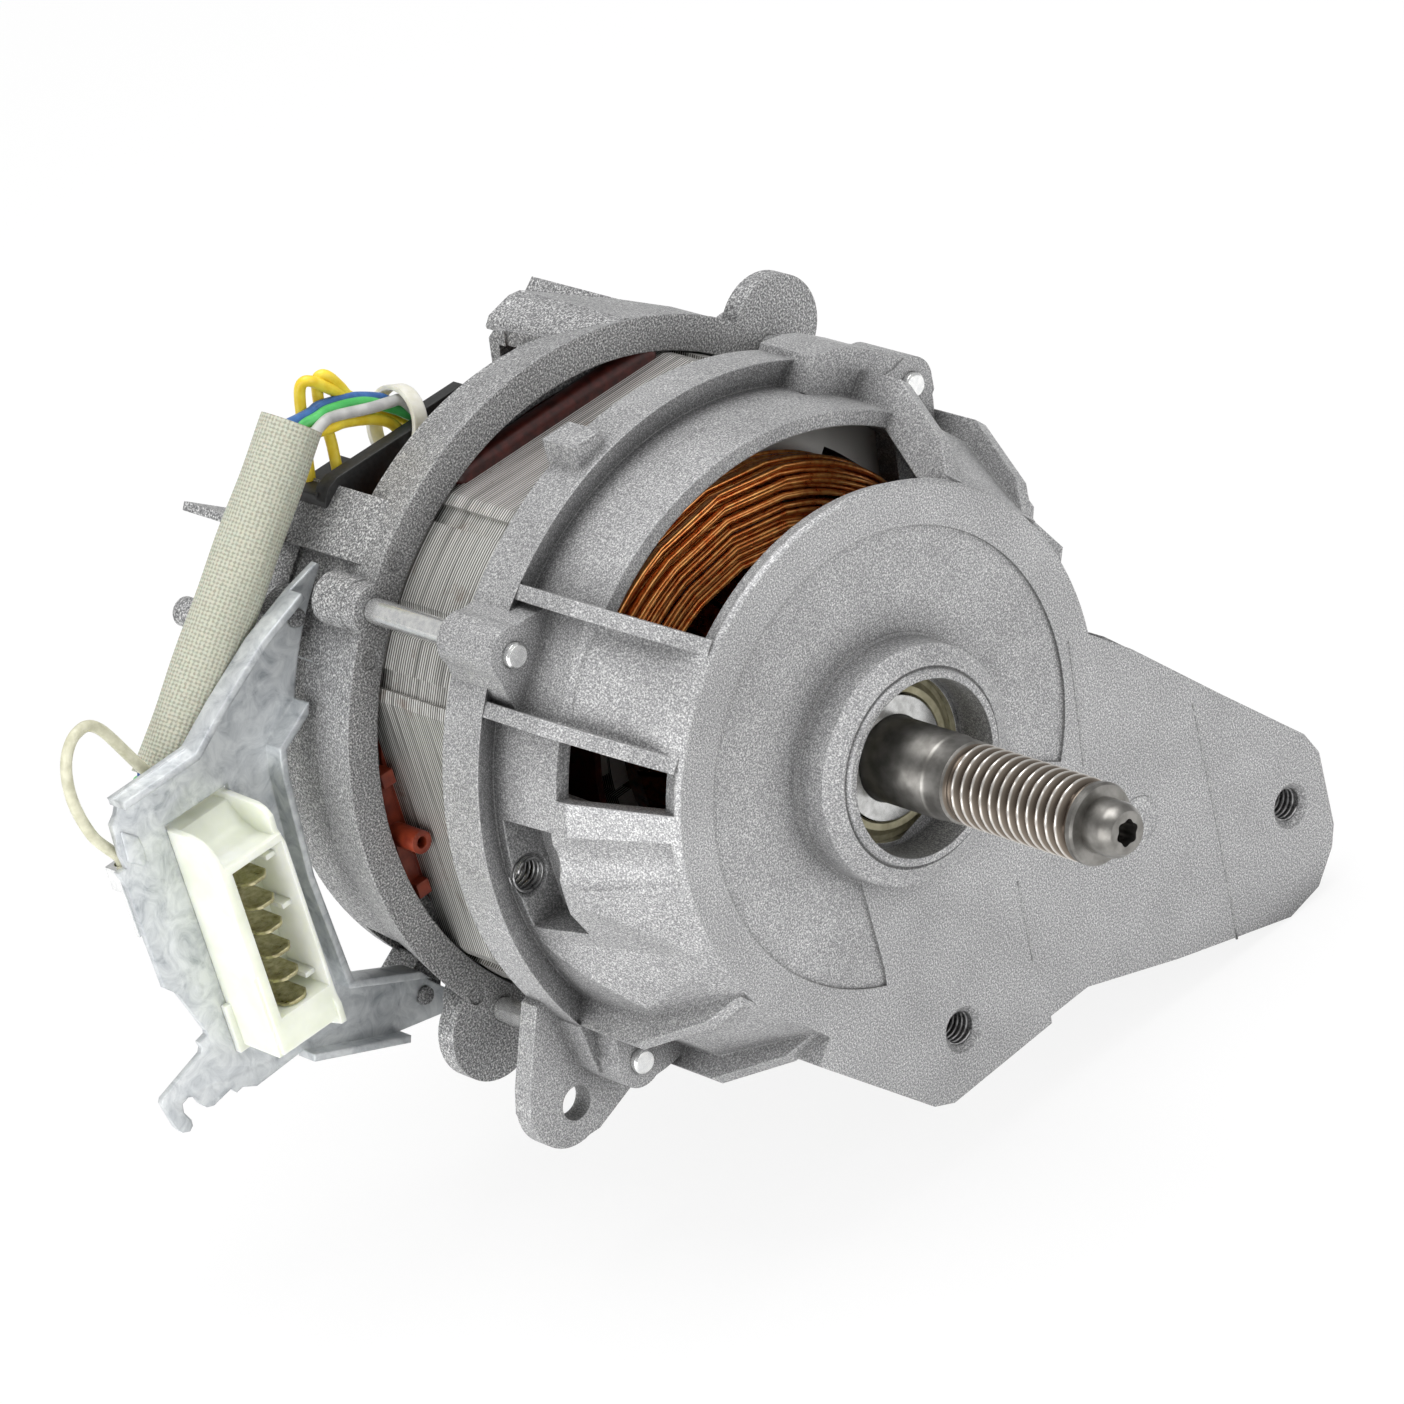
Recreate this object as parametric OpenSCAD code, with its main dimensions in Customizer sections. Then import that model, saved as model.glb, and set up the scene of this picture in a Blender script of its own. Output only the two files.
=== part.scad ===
// Washing machine motor with two cast end shields, wound stator, armature and connector bracket.
// X runs along the shaft to the front, Y to the right seen from the front, Z up.
// The origin lies on the shaft axis in the plane of the front disc.

/* [Shaft] */
// Radius of the ground pulley seat
seat_r = 8.5; // [7.5:0.5:9]
// Crest radius of the shaft thread
thread_r = 7.9; // [7:0.1:8.4]
// Pitch of the shaft thread
thread_pitch = 2.5; // [2:0.5:3]
// Length of the shaft in front of the disc
shaft_out = 63; // [58:1:70]

/* [Stator] */
// Outer radius of the lamination stack
stack_r = 64; // [62:0.5:65]
// Length of the lamination stack
stack_len = 35; // [32:1:38]
// Distance of the four flats from the axis
stack_flat = 57.5; // [56:0.5:59]
// Bore radius of the two poles
pole_r = 33.2; // [32.5:0.1:34]

/* [Winding] */
// Radius of one drawn strand of the field winding
strand_r = 0.95; // [0.7:0.05:1]
// Spacing of the drawn strands
strand_pitch = 3.4; // [3.2:0.1:3.6]

/* [Front shield] */
// Radius of the front disc
disc_r = 53; // [51:0.5:54]
// Thickness of the front disc
disc_t = 4.5; // [3.5:0.5:6]
// Radius of the bearing boss
boss_r = 23.7; // [22.5:0.1:25]
// Height of the bearing boss
boss_h = 9; // [7:0.5:11]
// Wall thickness of the castings
wall_t = 3; // [2.5:0.25:4]
// Clear width between the two ribs at each bolt
channel_w = 19.6; // [17:0.2:21]

/* [Mounting plate] */
// Thickness of the mounting plate
plate_t = 7; // [6:0.5:9]
// Core radius of the threaded fastening holes
mount_hole_r = 3.4; // [3:0.1:3.6]

/* [Bolts] */
// Radius of the four through bolts
bolt_r = 2.5; // [2:0.25:3]

/* [Bearings] */
// Outer radius of the front bearing
front_bearing_r = 20; // [19:0.5:20.5]
// Width of the front bearing
front_bearing_w = 12; // [10:1:12]
// Outer radius of the rear bearing
rear_bearing_r = 17.5; // [16:0.5:18]
// Width of the rear bearing
rear_bearing_w = 11; // [9:1:12]

/* [Armature] */
// Air gap between armature and poles
air_gap = 0.6; // [0.4:0.1:1]
// Number of armature slots
slot_count = 24; // [20:1:28]
// Radius of the commutator
comm_r = 17; // [15:0.5:19]
// Length of the commutator
comm_len = 20; // [16:1:22]

/* [Brushes] */
// Width of a carbon brush along the shaft
brush_w = 10; // [8:0.5:12]
// Thickness of a carbon brush
brush_t = 6.3; // [5:0.1:8]
// Wall of a brush holder
holder_t = 1; // [0.8:0.1:1.5]

/* [Bracket] */
// Sheet thickness of the connector bracket
sheet_t = 1.5; // [1.2:0.1:2]

/* [Connector] */
// Depth of the connector socket
socket_d = 13.5; // [12:0.5:15]
// Width of one blade
blade_w = 6.3; // [5:0.1:7]
// Spacing of the blades
blade_pitch = 5.45; // [5:0.05:5.6]

/* [Leads] */
// Radius of one lead
lead_r = 1.15; // [0.9:0.05:1.25]
// Outer radius of the harness sleeve
sleeve_r = 6.2; // [6:0.1:7]

/* [Hidden] */
$fn = 48;
fit_gap = 0.05;          // shared by seats that only locate
run_gap = 0.05;          // running fit of brushes in their holders
x_stack = -44;           // front face of the stack
x_stack_b = x_stack - stack_len;
x_flange = -38.5;        // front face of the flange
x_flange_b = -49;        // back face of the flange
x_rim = -21;             // front rim of the straight wall
x_lug = -33;             // face of the bolt lugs
x_bearing = -0.1;        // front face of the front bearing
x_ring = -74;            // front face of the rear ring
x_rear = -106;           // back face of the rear drum
x_hub_b = x_rear - 18.5; // back face of the rear hub
x_sheet = -93;           // front face of the bracket sheet
x_bolt_b = -86.5;        // rear end of the bolt pockets
x_carrier = -101;        // back face of the brush carrier
flange_r = stack_r + 5;
flange_wall_r = stack_r - 0.3;
rim_r = stack_r - 1.5;
ring_r = stack_r + 7.6;
drum_r = stack_r + 3.5;
seat_ring_r = stack_r + fit_gap;
throat_r = front_bearing_r - 2.7;
inner_seat_r = seat_r + 0.01;
pulley_seat_r = seat_r - 0.2; // the pulley seat is ground smaller than the bearing seat
relief_w = 0.4;          // grinding relief between the pulley seat and the bearing
relief_d = 0.3;
track_r = 14.25;
ball_r = 3.4;
seal_r = track_r + 0.62 * ball_r;
rear_track_r = 12.5;
rear_ball_r = 2.9;
bolt_y = 52.6;
bolt_z = 45.5;
bolt_angle = atan2(bolt_z, bolt_y);
bolt_far = norm([bolt_y, bolt_z]);
rib_off = channel_w / 2;
rib_t = wall_t;
rotor_r = pole_r - air_gap;
slot_half = 46;
mid_x = x_stack - stack_len / 2;
rear_seat_r = 7.5;
x_brush = -96;
x_comm = x_brush + comm_len / 2;
ear_at = [-61.9, -53];
scoop_at = [-60.3, 0];
mount_a = [90.2, -64.8];
mount_b = [-1.7, -60.8];
rivet_at = [[-58, 42.5], [-57, -45]];
rivet_r = 1.8;
sheet_clip_r = drum_r + 2.1;
bolt_at = [[bolt_y, bolt_z], [-bolt_y, bolt_z], [-bolt_y, -bolt_z], [bolt_y, -bolt_z]];
plate_edge = [[47, 3], [48, 1.5], [61.6, -11.5], [80.2, -32.7], [98, -52.5], [100.6, -58.2],
    [99.7, -74.7], [97.8, -79], [92, -84.9], [83.1, -86.8], [68.6, -82.7], [52.9, -78.2],
    [29.7, -70.4], [19.2, -70.7], [19, -72.2], [-8.5, -73.5], [-13.3, -71.4], [-36.2, -47.6],
    [-32, -43.5], [-45, -27.8], [-20, -20], [20, -10]];
wing_edge = [[50, 38], [59.5, 37.1], [60.3, 33.8], [69.2, 26.4], [69.7, 24.7], [77.8, 2.7],
    [76.7, 0.3], [82.1, -9], [80.7, -11.6], [79.6, -19.8], [78, -30], [81, -58], [70, -74],
    [48, -72], [20, -67], [0, -60], [40, -20]];
ear_edge = [[-58, -28], [-63.9, -29.5], [-71.4, -45.1], [-72.9, -49.9], [-71.2, -55.2],
    [-66.7, -60.4], [-58.6, -60.9], [-46.3, -56.4], [-40, -50]];
lug_edge = [[28, 57], [32.7, 62.4], [37.7, 61.4], [41.7, 59.7], [47.6, 55.4], [52.5, 51.4],
    [56.6, 48.6], [58.4, 45.2], [58, 41.5], [55.3, 38.6], [44, 40]];
roof_edge = [[13.2, 64.8], [14.6, 66.4], [20.5, 67.8], [23.3, 67.4], [45.5, 53.4], [57, 45.5],
    [50, 40], [40, 50], [14, 60]];
bracket_edge = [[-48.1, 48.4], [-49.8, 50], [-57.2, 48.2], [-69.1, 43.9], [-82, 36.9],
    [-87.4, 32.7], [-90.3, 31.7], [-108.7, 31.5], [-109.9, 27.7], [-112.3, 17], [-111.7, -9.5],
    [-109, -12.3], [-105.5, -23.1], [-108, -24.3], [-107.8, -26.5], [-119.3, -29.7],
    [-120.2, -31.4], [-118.4, -38], [-115.4, -38.8], [-115.2, -33], [-111.7, -36.6],
    [-104.7, -37.1], [-99.6, -39.4], [-86.8, -39.3], [-64.9, -48.6], [-52.5, -51.4],
    [-47.8, -49], [-48.3, -42.2], [-73.8, -29.9], [-74.8, -4.9], [-73, 16.9], [-71.8, 21.9],
    [-62.8, 26.7], [-57.5, 30.4], [-58.6, 34.4], [-50.5, 41]];
fold_in = [[-51, 41], [-58.6, 34.4], [-57.5, 30.4], [-62.8, 26.7], [-71.8, 21.9], [-73, 16.9],
    [-74.8, -4.9], [-73.8, -29.9], [-50, -41.4]];
fold_out = [[-108.7, 31.5], [-90.3, 31.7], [-82, 36.9], [-69.1, 43.9], [-57.2, 48.2]];

// Shared shapes
module prism(x0, x1) {
    translate([x0, 0, 0]) rotate([90, 0, 90]) linear_extrude(height = x1 - x0) children();
}

module turned(fn = 96) {
    rotate([90, 0, 90]) rotate_extrude($fn = fn) children();
}

module turned_arc(a0, a1) {
    rotate([90, 0, 90]) rotate([0, 0, a0]) rotate_extrude(angle = a1 - a0, $fn = 96) children();
}

module rod(x0, x1, r) {
    translate([x0, 0, 0]) rotate([0, 90, 0]) cylinder(h = x1 - x0, r = r);
}

module at(p) {
    translate([0, p[0], p[1]]) children();
}

module ring2d(r0, r1, x0, x1) {
    polygon([[r0, x0], [r1, x0], [r1, x1], [r0, x1]]);
}

function unit(v) = v / norm(v);
function tangent(p, i) = unit(p[min(i + 1, len(p) - 1)] - p[max(i - 1, 0)]);
function carry(p, i, u) = i == len(p) ? [] :
    let (t = tangent(p, i), w = unit(u - (u * t) * t)) concat([w], carry(p, i + 1, w));
function spline(p, i, t) =
    let (a = p[max(i - 1, 0)], b = p[i], c = p[i + 1], d = p[min(i + 2, len(p) - 1)])
    0.5 * (2 * b + (c - a) * t + (2 * a - 5 * b + 4 * c - d) * t * t
        + (3 * b - 3 * c + d - a) * t * t * t);
function smooth(p, n) = concat([for (i = [0:len(p) - 2]) for (k = [0:n - 1]) spline(p, i, k / n)],
    [p[len(p) - 1]]);

module swept(p, ups, r, sides) {
    n = len(p);
    points = [for (i = [0:n - 1])
        let (t = tangent(p, i), u = ups[i], v = cross(t, u))
        for (k = [0:sides - 1])
            p[i] + r * (cos(360 * k / sides) * u + sin(360 * k / sides) * v)];
    sheets = [for (i = [0:n - 2]) for (k = [0:sides - 1])
        let (a = i * sides + k, b = i * sides + (k + 1) % sides)
        each [[a, a + sides, b], [b, a + sides, b + sides]]];
    polyhedron(points, concat([[for (k = [0:sides - 1]) k]], sheets,
        [[for (k = [sides - 1:-1:0]) (n - 1) * sides + k]]));
}

module lead(p, n = 2, up = [1, 0, 0]) {
    path = smooth(p, n);
    swept(path, carry(path, 0, up), lead_r, 8);
}

// Front end shield
module outer_body() {
    turned() polygon([[0, x_flange_b], [flange_r, x_flange_b], [flange_r, x_flange],
        [flange_wall_r, x_flange - 2.1], [rim_r, x_rim], [disc_r, -0.6], [disc_r - 0.4, 0], [0, 0]]);
}

module front_skin() {
    turned() polygon([[seat_ring_r, x_flange_b], [flange_r, x_flange_b], [flange_r, x_flange],
        [flange_wall_r, x_flange - 2.1], [rim_r, x_rim], [disc_r, -0.6], [disc_r - 0.4, 0],
        [boss_r, 0], [boss_r - 0.3, boss_h - 2.7], [19.6, boss_h - 0.8], [19.2, boss_h - 1.2],
        [18.7, boss_h], [throat_r, boss_h], [throat_r, x_bearing], [front_bearing_r + fit_gap, x_bearing],
        [front_bearing_r + fit_gap, x_bearing - front_bearing_w],
        [front_bearing_r + 4, x_bearing - front_bearing_w], [front_bearing_r + 4, -disc_t],
        [disc_r - 2.6, -disc_t], [rim_r - wall_t, x_rim], [stack_r - 3.6, x_stack],
        [seat_ring_r, x_stack]]);
}

module window_cut(a0, a1, x0 = x_rim - 0.4, x1 = -1.2) {
    turned_arc(a0, a1) polygon([[disc_r - 3.2, x0], [80, x0], [80, x1],
        [disc_r - 0.2, x1], [disc_r - 0.9, -disc_t - 0.3], [disc_r - 3.2, -disc_t - 0.3]]);
}

// Flat floor and two ribs at a bolt, drawn in the plane of X and the bolt radius
module channel_solid() {
    half = rib_off + rib_t;
    translate([0, 0, -half]) linear_extrude(height = 2 * half) polygon([[x_flange - 4, stack_r],
        [-23.5, stack_r - 0.9], [-0.9, disc_r - 0.6], [-disc_t, disc_r - 4],
        [-23.5, stack_r - 0.9 - wall_t], [x_flange - 4, stack_r - wall_t]]);
    for (side = [-1, 1])
        translate([0, 0, side * (rib_off + rib_t / 2) - rib_t / 2]) linear_extrude(height = rib_t)
            polygon([[x_flange - 3, stack_r + 3.8], [-23, stack_r + 3.8], [-7, stack_r - 5],
                [-0.3, disc_r - 2.2], [-0.6, disc_r - 5], [-disc_t, disc_r - 5], [-23, 58.5],
                [x_flange - 3, 60.5]]);
}

module lug_solid() {
    prism(x_flange_b + 0.4, x_lug) {
        polygon([[60, -rib_off - 2.4], [62, -rib_off - 2.4], [bolt_far - 0.5, -7],
            [bolt_far + 2, -4.8], [bolt_far + 2, 4.8], [bolt_far - 0.5, 7],
            [62, rib_off + 2.4], [60, rib_off + 2.4]]);
        translate([bolt_far, 0]) circle(r = bolt_r + 3);
    }
}

module half_space(p, tilt, turn, depth = 40) {
    translate(p) rotate([0, tilt, turn]) translate([-70, -70, 0]) cube([140, 140, depth]);
}

// The slanted step of the dome and the flat facet below it
module facet_space() {
    intersection() {
        half_space([-2.2, -52, -14.6], 112.6, -75.5);
        half_space([-2.2, -52, -14.6], 95.5, -74.8);
        translate([x_flange, -90, -46]) cube([38, 50, 46]);
    }
}

module scoop(grow) {
    translate([x_flange - grow, -75, -10 - grow]) cube([13 + 2 * grow, 20.2 + 0.8 * grow, 23.4 + 2 * grow]);
}

module plate_back() {
    for (seg = [[[60, -11], [77, -30]], [[77, -30], [79, -60]], [[79, -60], [69, -73]],
            [[69, -73], [22, -66]], [[40, -40], [86, -62]]])
        let (d = seg[1] - seg[0], n = unit([-d[1], d[0]]) * wall_t / 2)
            prism(x_flange - 2, -plate_t + 0.5)
                polygon([seg[0] - n, seg[1] - n, seg[1] + n, seg[0] + n]);
}

module front_end_shield() {
    color("silver") difference() {
        union() {
            difference() {
                union() {
                    difference() {
                        front_skin();
                        window_cut(50, 130);
                        window_cut(230, 310, x_rim - 0.4, -plate_t);
                        window_cut(148, 161.5, x_rim - 2.6);
                        window_cut(18.5, 32, x_rim - 2.6);
                    }
                    intersection() {
                        outer_body();
                        scoop(2.6);
                    }
                    intersection() {
                        outer_body();
                        translate([x_flange - 4, -72, -44]) cube([-x_flange + 3, 23, 36]);
                    }
                }
                facet_space();
                scoop(0);
            }
            for (p = bolt_at)
                rotate([atan2(p[1], p[0]), 0, 0]) {
                    channel_solid();
                    lug_solid();
                }
            prism(x_flange_b, x_flange_b + 4.5) {
                polygon(ear_edge);
                translate([-63.4, -51.6]) circle(r = 9.4);
            }
            prism(x_flange_b, x_flange)
                polygon([[-52, -30], [-59.8, -35.1], [-59, -46], [-52, -50], [-44, -44]]);
            prism(x_flange_b + 0.2, x_lug - 0.4) polygon(lug_edge);
            prism(-44.5, x_flange) polygon(wing_edge);
            translate([-50, -21, 60]) cube([9, 7, 10.5]);
            prism(-plate_t, 0) polygon(plate_edge);
            plate_back();
            for (p = [mount_a, mount_b])
                at(p) rod(-22, -2, 8.6);
        }
        prism(-0.6, 2) difference() {
            circle(r = 44.6, $fn = 96);
            circle(r = boss_r + 0.6, $fn = 96);
            polygon([[-15, -19], [-15.4, -38], [-19, -60], [60, -60], [60, -37], [18, -11]]);
        }
        translate([x_rim, -69.2, 8.4]) rotate([0, 90, 22.5]) translate([0, 0, -8]) cylinder(h = 32, r = 9);
        at(scoop_at) rod(-60, x_flange + 1, mount_hole_r);
        at(scoop_at) translate([x_flange - 1, 0, 0]) rotate([0, 90, 0])
            cylinder(h = 1.01, r1 = mount_hole_r, r2 = 4.5);
        for (p = [mount_a, mount_b])
            at(p) {
                rod(-30, 2, mount_hole_r);
                translate([-1.3, 0, 0]) rotate([0, 90, 0])
                    cylinder(h = 1.31, r1 = mount_hole_r, r2 = 4.75);
            }
        at(ear_at) rod(-60, 0, 3.5);
        for (p = bolt_at)
            at(p) rod(-60, 0, bolt_r + fit_gap);
        rod(x_bearing - front_bearing_w, x_bearing, front_bearing_r + fit_gap);
        rod(-60, x_stack, seat_ring_r);
        rod(x_stack - 1, -disc_t - 10, 52.4);
    }
}

// Rear end shield
module rear_skin() {
    turned() polygon([[stack_r + 0.5, x_ring], [ring_r, x_ring], [drum_r, -89],
        [drum_r - 1, x_rear + 2], [drum_r - 3, x_rear], [rear_bearing_r + 4, x_rear],
        [rear_bearing_r + 4, x_hub_b], [13, x_hub_b], [13, x_hub_b + 3],
        [rear_bearing_r + fit_gap, x_hub_b + 3], [rear_bearing_r + fit_gap, x_rear + wall_t],
        [drum_r - 4, x_rear + wall_t], [drum_r - 3.5, -86], [stack_r - 3.5, x_stack_b - 3],
        [stack_r - 3.5, x_stack_b], [seat_ring_r, x_stack_b], [seat_ring_r, x_ring - 1.5]]);
}

module rear_lug(p) {
    big = p[0] * p[1] > 0;
    prism(x_ring - 4.5, x_ring) difference() {
        translate(p * (big ? 1.06 : 1)) circle(r = big ? 10.6 : 5);
        circle(r = stack_r + 1, $fn = 96);
    }
    at(p) rod(x_bolt_b, x_ring - 4, big ? 5 : 5.2);
}

module rear_window(a0, a1, x0 = x_rear + 5) {
    turned_arc(a0, a1) ring2d(drum_r - 8, drum_r + 6, x0, -90);
}

module rear_fin(side) {
    prism(-137, x_rear + 1) polygon([[side * 46.8, 52.3], [side * 47.8, 50.8],
        [side * 38, 43.6], [side * 37, 45.1]]);
    at([side * 54, 31]) rod(-138, x_rear + 1, 3);
}

module rear_end_shield() {
    color("darkgray") difference() {
        union() {
            difference() {
                union() {
                    rear_skin();
                    for (p = bolt_at)
                        rear_lug(p);
                    prism(x_rear - 2, x_ring - 2) difference() {
                        polygon(roof_edge);
                        circle(r = drum_r - 2, $fn = 96);
                    }
                    turned_arc(122, 133) ring2d(drum_r - 2.5, drum_r + 2, -118, -80);
                    turned_arc(132, 156) ring2d(drum_r - 2.7, drum_r - 0.2, -117, x_rear + 3);
                }
                rear_window(79, 122);
                rear_window(206, 216);
                rear_window(236, 304);
                rear_window(-22, 24);
                for (a = [0, 90, 180, 270])
                    turned_arc(a - 26, a + 26) ring2d(27, 57, x_rear - 1, x_rear + 6);
                turned_arc(79.5, 121) ring2d(50, drum_r + 0.1, x_rear - 3, -90);
                translate([x_stack_b - 3.2, -63.2, -15.3]) cube([7.2, 126.4, 28.6]);
            }
            for (side = [-1, 1])
                rear_fin(side);
            prism(x_rear + 3, x_sheet - sheet_t) {
                polygon([[-54, 36], [-61, 39], [-60.5, 43.5], [-52, 45]]);
                polygon([[-50, -42], [-54, -38], [-61, -42], [-60, -49], [-53, -49]]);
            }
            for (p = rivet_at)
                at(p) rod(x_sheet - 3, x_sheet + 0.8, rivet_r);
        }
        for (p = [[-45.2, 52.4], [-57.6, 37.3], [-58.1, -40]])
            at(p * 0.985) rod(x_ring - 0.4, x_ring + 1, 2);
        for (p = bolt_at)
            at(p) {
                rod(x_bolt_b + 1, -70, bolt_r + fit_gap);
                rod(x_bolt_b - 1, x_bolt_b + 3.5, 4 + fit_gap);
            }
    }
}

// Stator
module stack_outline() {
    intersection() {
        difference() {
            circle(r = stack_r, $fn = 120);
            for (p = bolt_at)
                translate(p) circle(r = bolt_r + 4);
            for (a = [30, 60, 120, 150, 210, 240, 300, 330])
                rotate(a) translate([stack_r, 0]) square([2.4, 4], center = true);
        }
        square(2 * stack_flat, center = true);
    }
}

module slot_space(half) {
    for (s = [0, 180])
        rotate(s) {
            difference() {
                intersection() {
                    circle(r = stack_flat - 4.5, $fn = 96);
                    polygon([[0, 0], [90, 90 * tan(half)], [90, -90 * tan(half)]]);
                }
                circle(r = 38, $fn = 96);
            }
            intersection() {
                circle(r = 39, $fn = 96);
                polygon([[0, 0], [60, 9], [60, -9]]);
            }
        }
}

module stator_core() {
    color("gray") prism(x_stack_b, x_stack) difference() {
        stack_outline();
        circle(r = pole_r, $fn = 96);
        slot_space(slot_half);
    }
}

module slot_insulation() {
    liner = coil_r0 - strand_r;
    color("sienna") {
        for (s = [0, 180])
            rotate([s, 0, 0]) {
                turned_arc(182.5 - slot_half, 177.5 + slot_half) ring2d(38, liner, x_stack_b - 4, x_stack + 4);
                translate([x_stack_b, -52.95, -0.6]) cube([stack_len, 53 - liner, 1.2]);
            }
        intersection() {
            union() {
                translate([x_stack_b, -25, stack_flat]) cube([3.4, 52, 3]);
                translate([x_stack_b - 3, -25, stack_flat - 3]) cube([3, 52, 6]);
            }
            rod(x_stack_b - 4, x_ring, stack_r - 3.7);
        }
    }
}

module coil_former() {
    color("peru") {
        difference() {
            prism(x_stack_b - 2.5, x_stack_b) intersection() {
                circle(r = stack_r - 4.2, $fn = 96);
                square([2 * stack_flat + 2, 2 * stack_flat - 6], center = true);
            }
            prism(x_stack_b - 5, x_stack_b + 1) circle(r = pole_r + 1.5, $fn = 96);
            prism(x_stack_b - 5, x_stack_b + 1) slot_space(slot_half + 9);
        }
        for (s = [-1, 1]) {
            difference() {
                union() {
                    at([s * 60.5, -1.2]) rod(x_stack_b, x_stack_b + 8.3, 2.3);
                    translate([x_stack_b - 3, s * 60 - 1.5, -15]) cube([3.5, 3, 28]);
                    for (z = [-15, 10])
                        translate([x_stack_b - 3, s * 60 - 1.5, z]) cube([6, 3, 3]);
                }
                at([s * 60.5, -1.2]) rod(x_stack_b + 1, x_stack_b + 9, 1.2);
            }
            translate([x_stack_b - 2.5, s * 58.5 - 2.5, -8]) cube([2.5, 5, 16]);
        }
    }
}

// Field windings, one unbroken strand wound in layers
coil_turns = 4;
coil_steps = 24;
coil_r0 = 40.4;
coil_len0 = stack_len / 2 + 4.6;
coil_arc0 = 39.5;
function ease(v) = sign(v) * pow(abs(v), 0.42);
function coil_row(u) = floor(u / coil_turns);
function coil_in(u) = u - coil_row(u) * coil_turns;
function coil_up(u) = max(0, coil_in(u) - coil_turns + 1);
function coil_wide(u) = let (w = min(coil_in(u), coil_turns - 1))
    coil_row(u) % 2 == 0 ? w : coil_turns - 1 - w;
function coil_point(u) =
    let (r = coil_r0 + strand_pitch * (coil_row(u) + coil_up(u)),
        w = strand_pitch * coil_wide(u),
        x = (coil_len0 + w) * ease(cos(360 * u)),
        s = (coil_arc0 + w) * ease(sin(360 * u)),
        a = s / coil_r0 * 180 / PI * 0.93)
    [mid_x + x, r * sin(a), r * cos(a)];
function coil_path(loops) = [for (k = [0:loops * coil_steps]) coil_point(k / coil_steps)];
function least_gap(p, skip) = min([for (i = [0:7:len(p) - 1]) for (j = [i + skip:1:len(p) - 1])
    norm(p[i] - p[j])]) - 2 * strand_r;

module field_coil(loops) {
    path = coil_path(loops);
    ups = [for (i = [0:len(path) - 1])
        let (t = tangent(path, i), u = [0, path[i][1], path[i][2]]) unit(u - (u * t) * t)];
    swept(path, ups, strand_r, 6);
}

module field_coil_upper() {
    echo(least_gap = least_gap(coil_path(15.25), 14));
    color("orange") field_coil(15.25);
}

module field_coil_lower() {
    color("orange") rotate([180, 0, 0]) field_coil(14);
}

// Through bolts
module through_bolts() {
    color("lightgray") for (p = bolt_at)
        at(p) {
            rod(x_bolt_b + 3, -31.9, bolt_r);
            translate([-31.9, 0, 0]) rotate([0, 90, 0]) cylinder(h = 0.4, r1 = bolt_r, r2 = bolt_r - 0.4);
            difference() {
                rod(x_bolt_b + 0.2, x_bolt_b + 3.5, 4);
                translate([x_bolt_b - 1, 0, 0]) rotate([0, 90, 0]) cylinder(h = 3, r = 2.2, $fn = 6);
            }
        }
}

// Rotor
module rotor_shaft() {
    x_thread0 = 22.2;
    x_thread1 = shaft_out - 7;
    turns = floor((x_thread1 - x_thread0) / thread_pitch);
    color("dimgray") difference() {
        turned(48) polygon(concat([[0, x_hub_b - 10], [5, x_hub_b - 10], [5.5, x_hub_b - 9.5],
            [5.5, x_hub_b + 1], [rear_seat_r, x_hub_b + 2], [rear_seat_r, x_rear + 1],
            [9, x_rear + 2], [9, x_stack + 14], [10.6, x_stack + 15], [10.6, x_bearing - front_bearing_w],
            [inner_seat_r, x_bearing - front_bearing_w], [inner_seat_r, x_bearing - relief_w],
            [pulley_seat_r - relief_d, x_bearing - relief_w], [pulley_seat_r - relief_d, x_bearing],
            [pulley_seat_r, x_bearing], [pulley_seat_r, 16.6], [thread_r + 0.1, 17.2],
            [thread_r + 0.1, 21.4], [thread_r - 1.1, 22.2]],
            [for (i = [0:turns - 1]) each [[thread_r - 1.1, x_thread0 + (i + 0.25) * thread_pitch],
                [thread_r, x_thread0 + (i + 0.6) * thread_pitch],
                [thread_r, x_thread0 + (i + 0.75) * thread_pitch]]],
            [[thread_r - 1.3, x_thread1], [4.9, x_thread1 + 0.4], [4.9, shaft_out - 1],
                [4, shaft_out], [0, shaft_out]]));
        translate([shaft_out - 4, 0, 0]) rotate([0, 90, 0]) cylinder(h = 5, r = 2.9, $fn = 6);
    }
}

module slot_2d(grow) {
    for (i = [0:slot_count - 1])
        rotate(i * 360 / slot_count) {
            translate([rotor_r - 6, -0.9 - grow]) square([8, 1.8 + 2 * grow]);
            translate([rotor_r - 6, 0]) circle(r = 2.5 + grow, $fn = 16);
            translate([rotor_r - 12, 0]) circle(r = 1.5 + grow, $fn = 16);
            polygon([[rotor_r - 12, -1.5 - grow], [rotor_r - 6, -2.5 - grow],
                [rotor_r - 6, 2.5 + grow], [rotor_r - 12, 1.5 + grow]]);
        }
}

module armature_core() {
    color("gray") prism(x_stack_b, x_stack) difference() {
        circle(r = rotor_r, $fn = 96);
        circle(r = 9 + fit_gap);
        slot_2d(0);
    }
}

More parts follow.
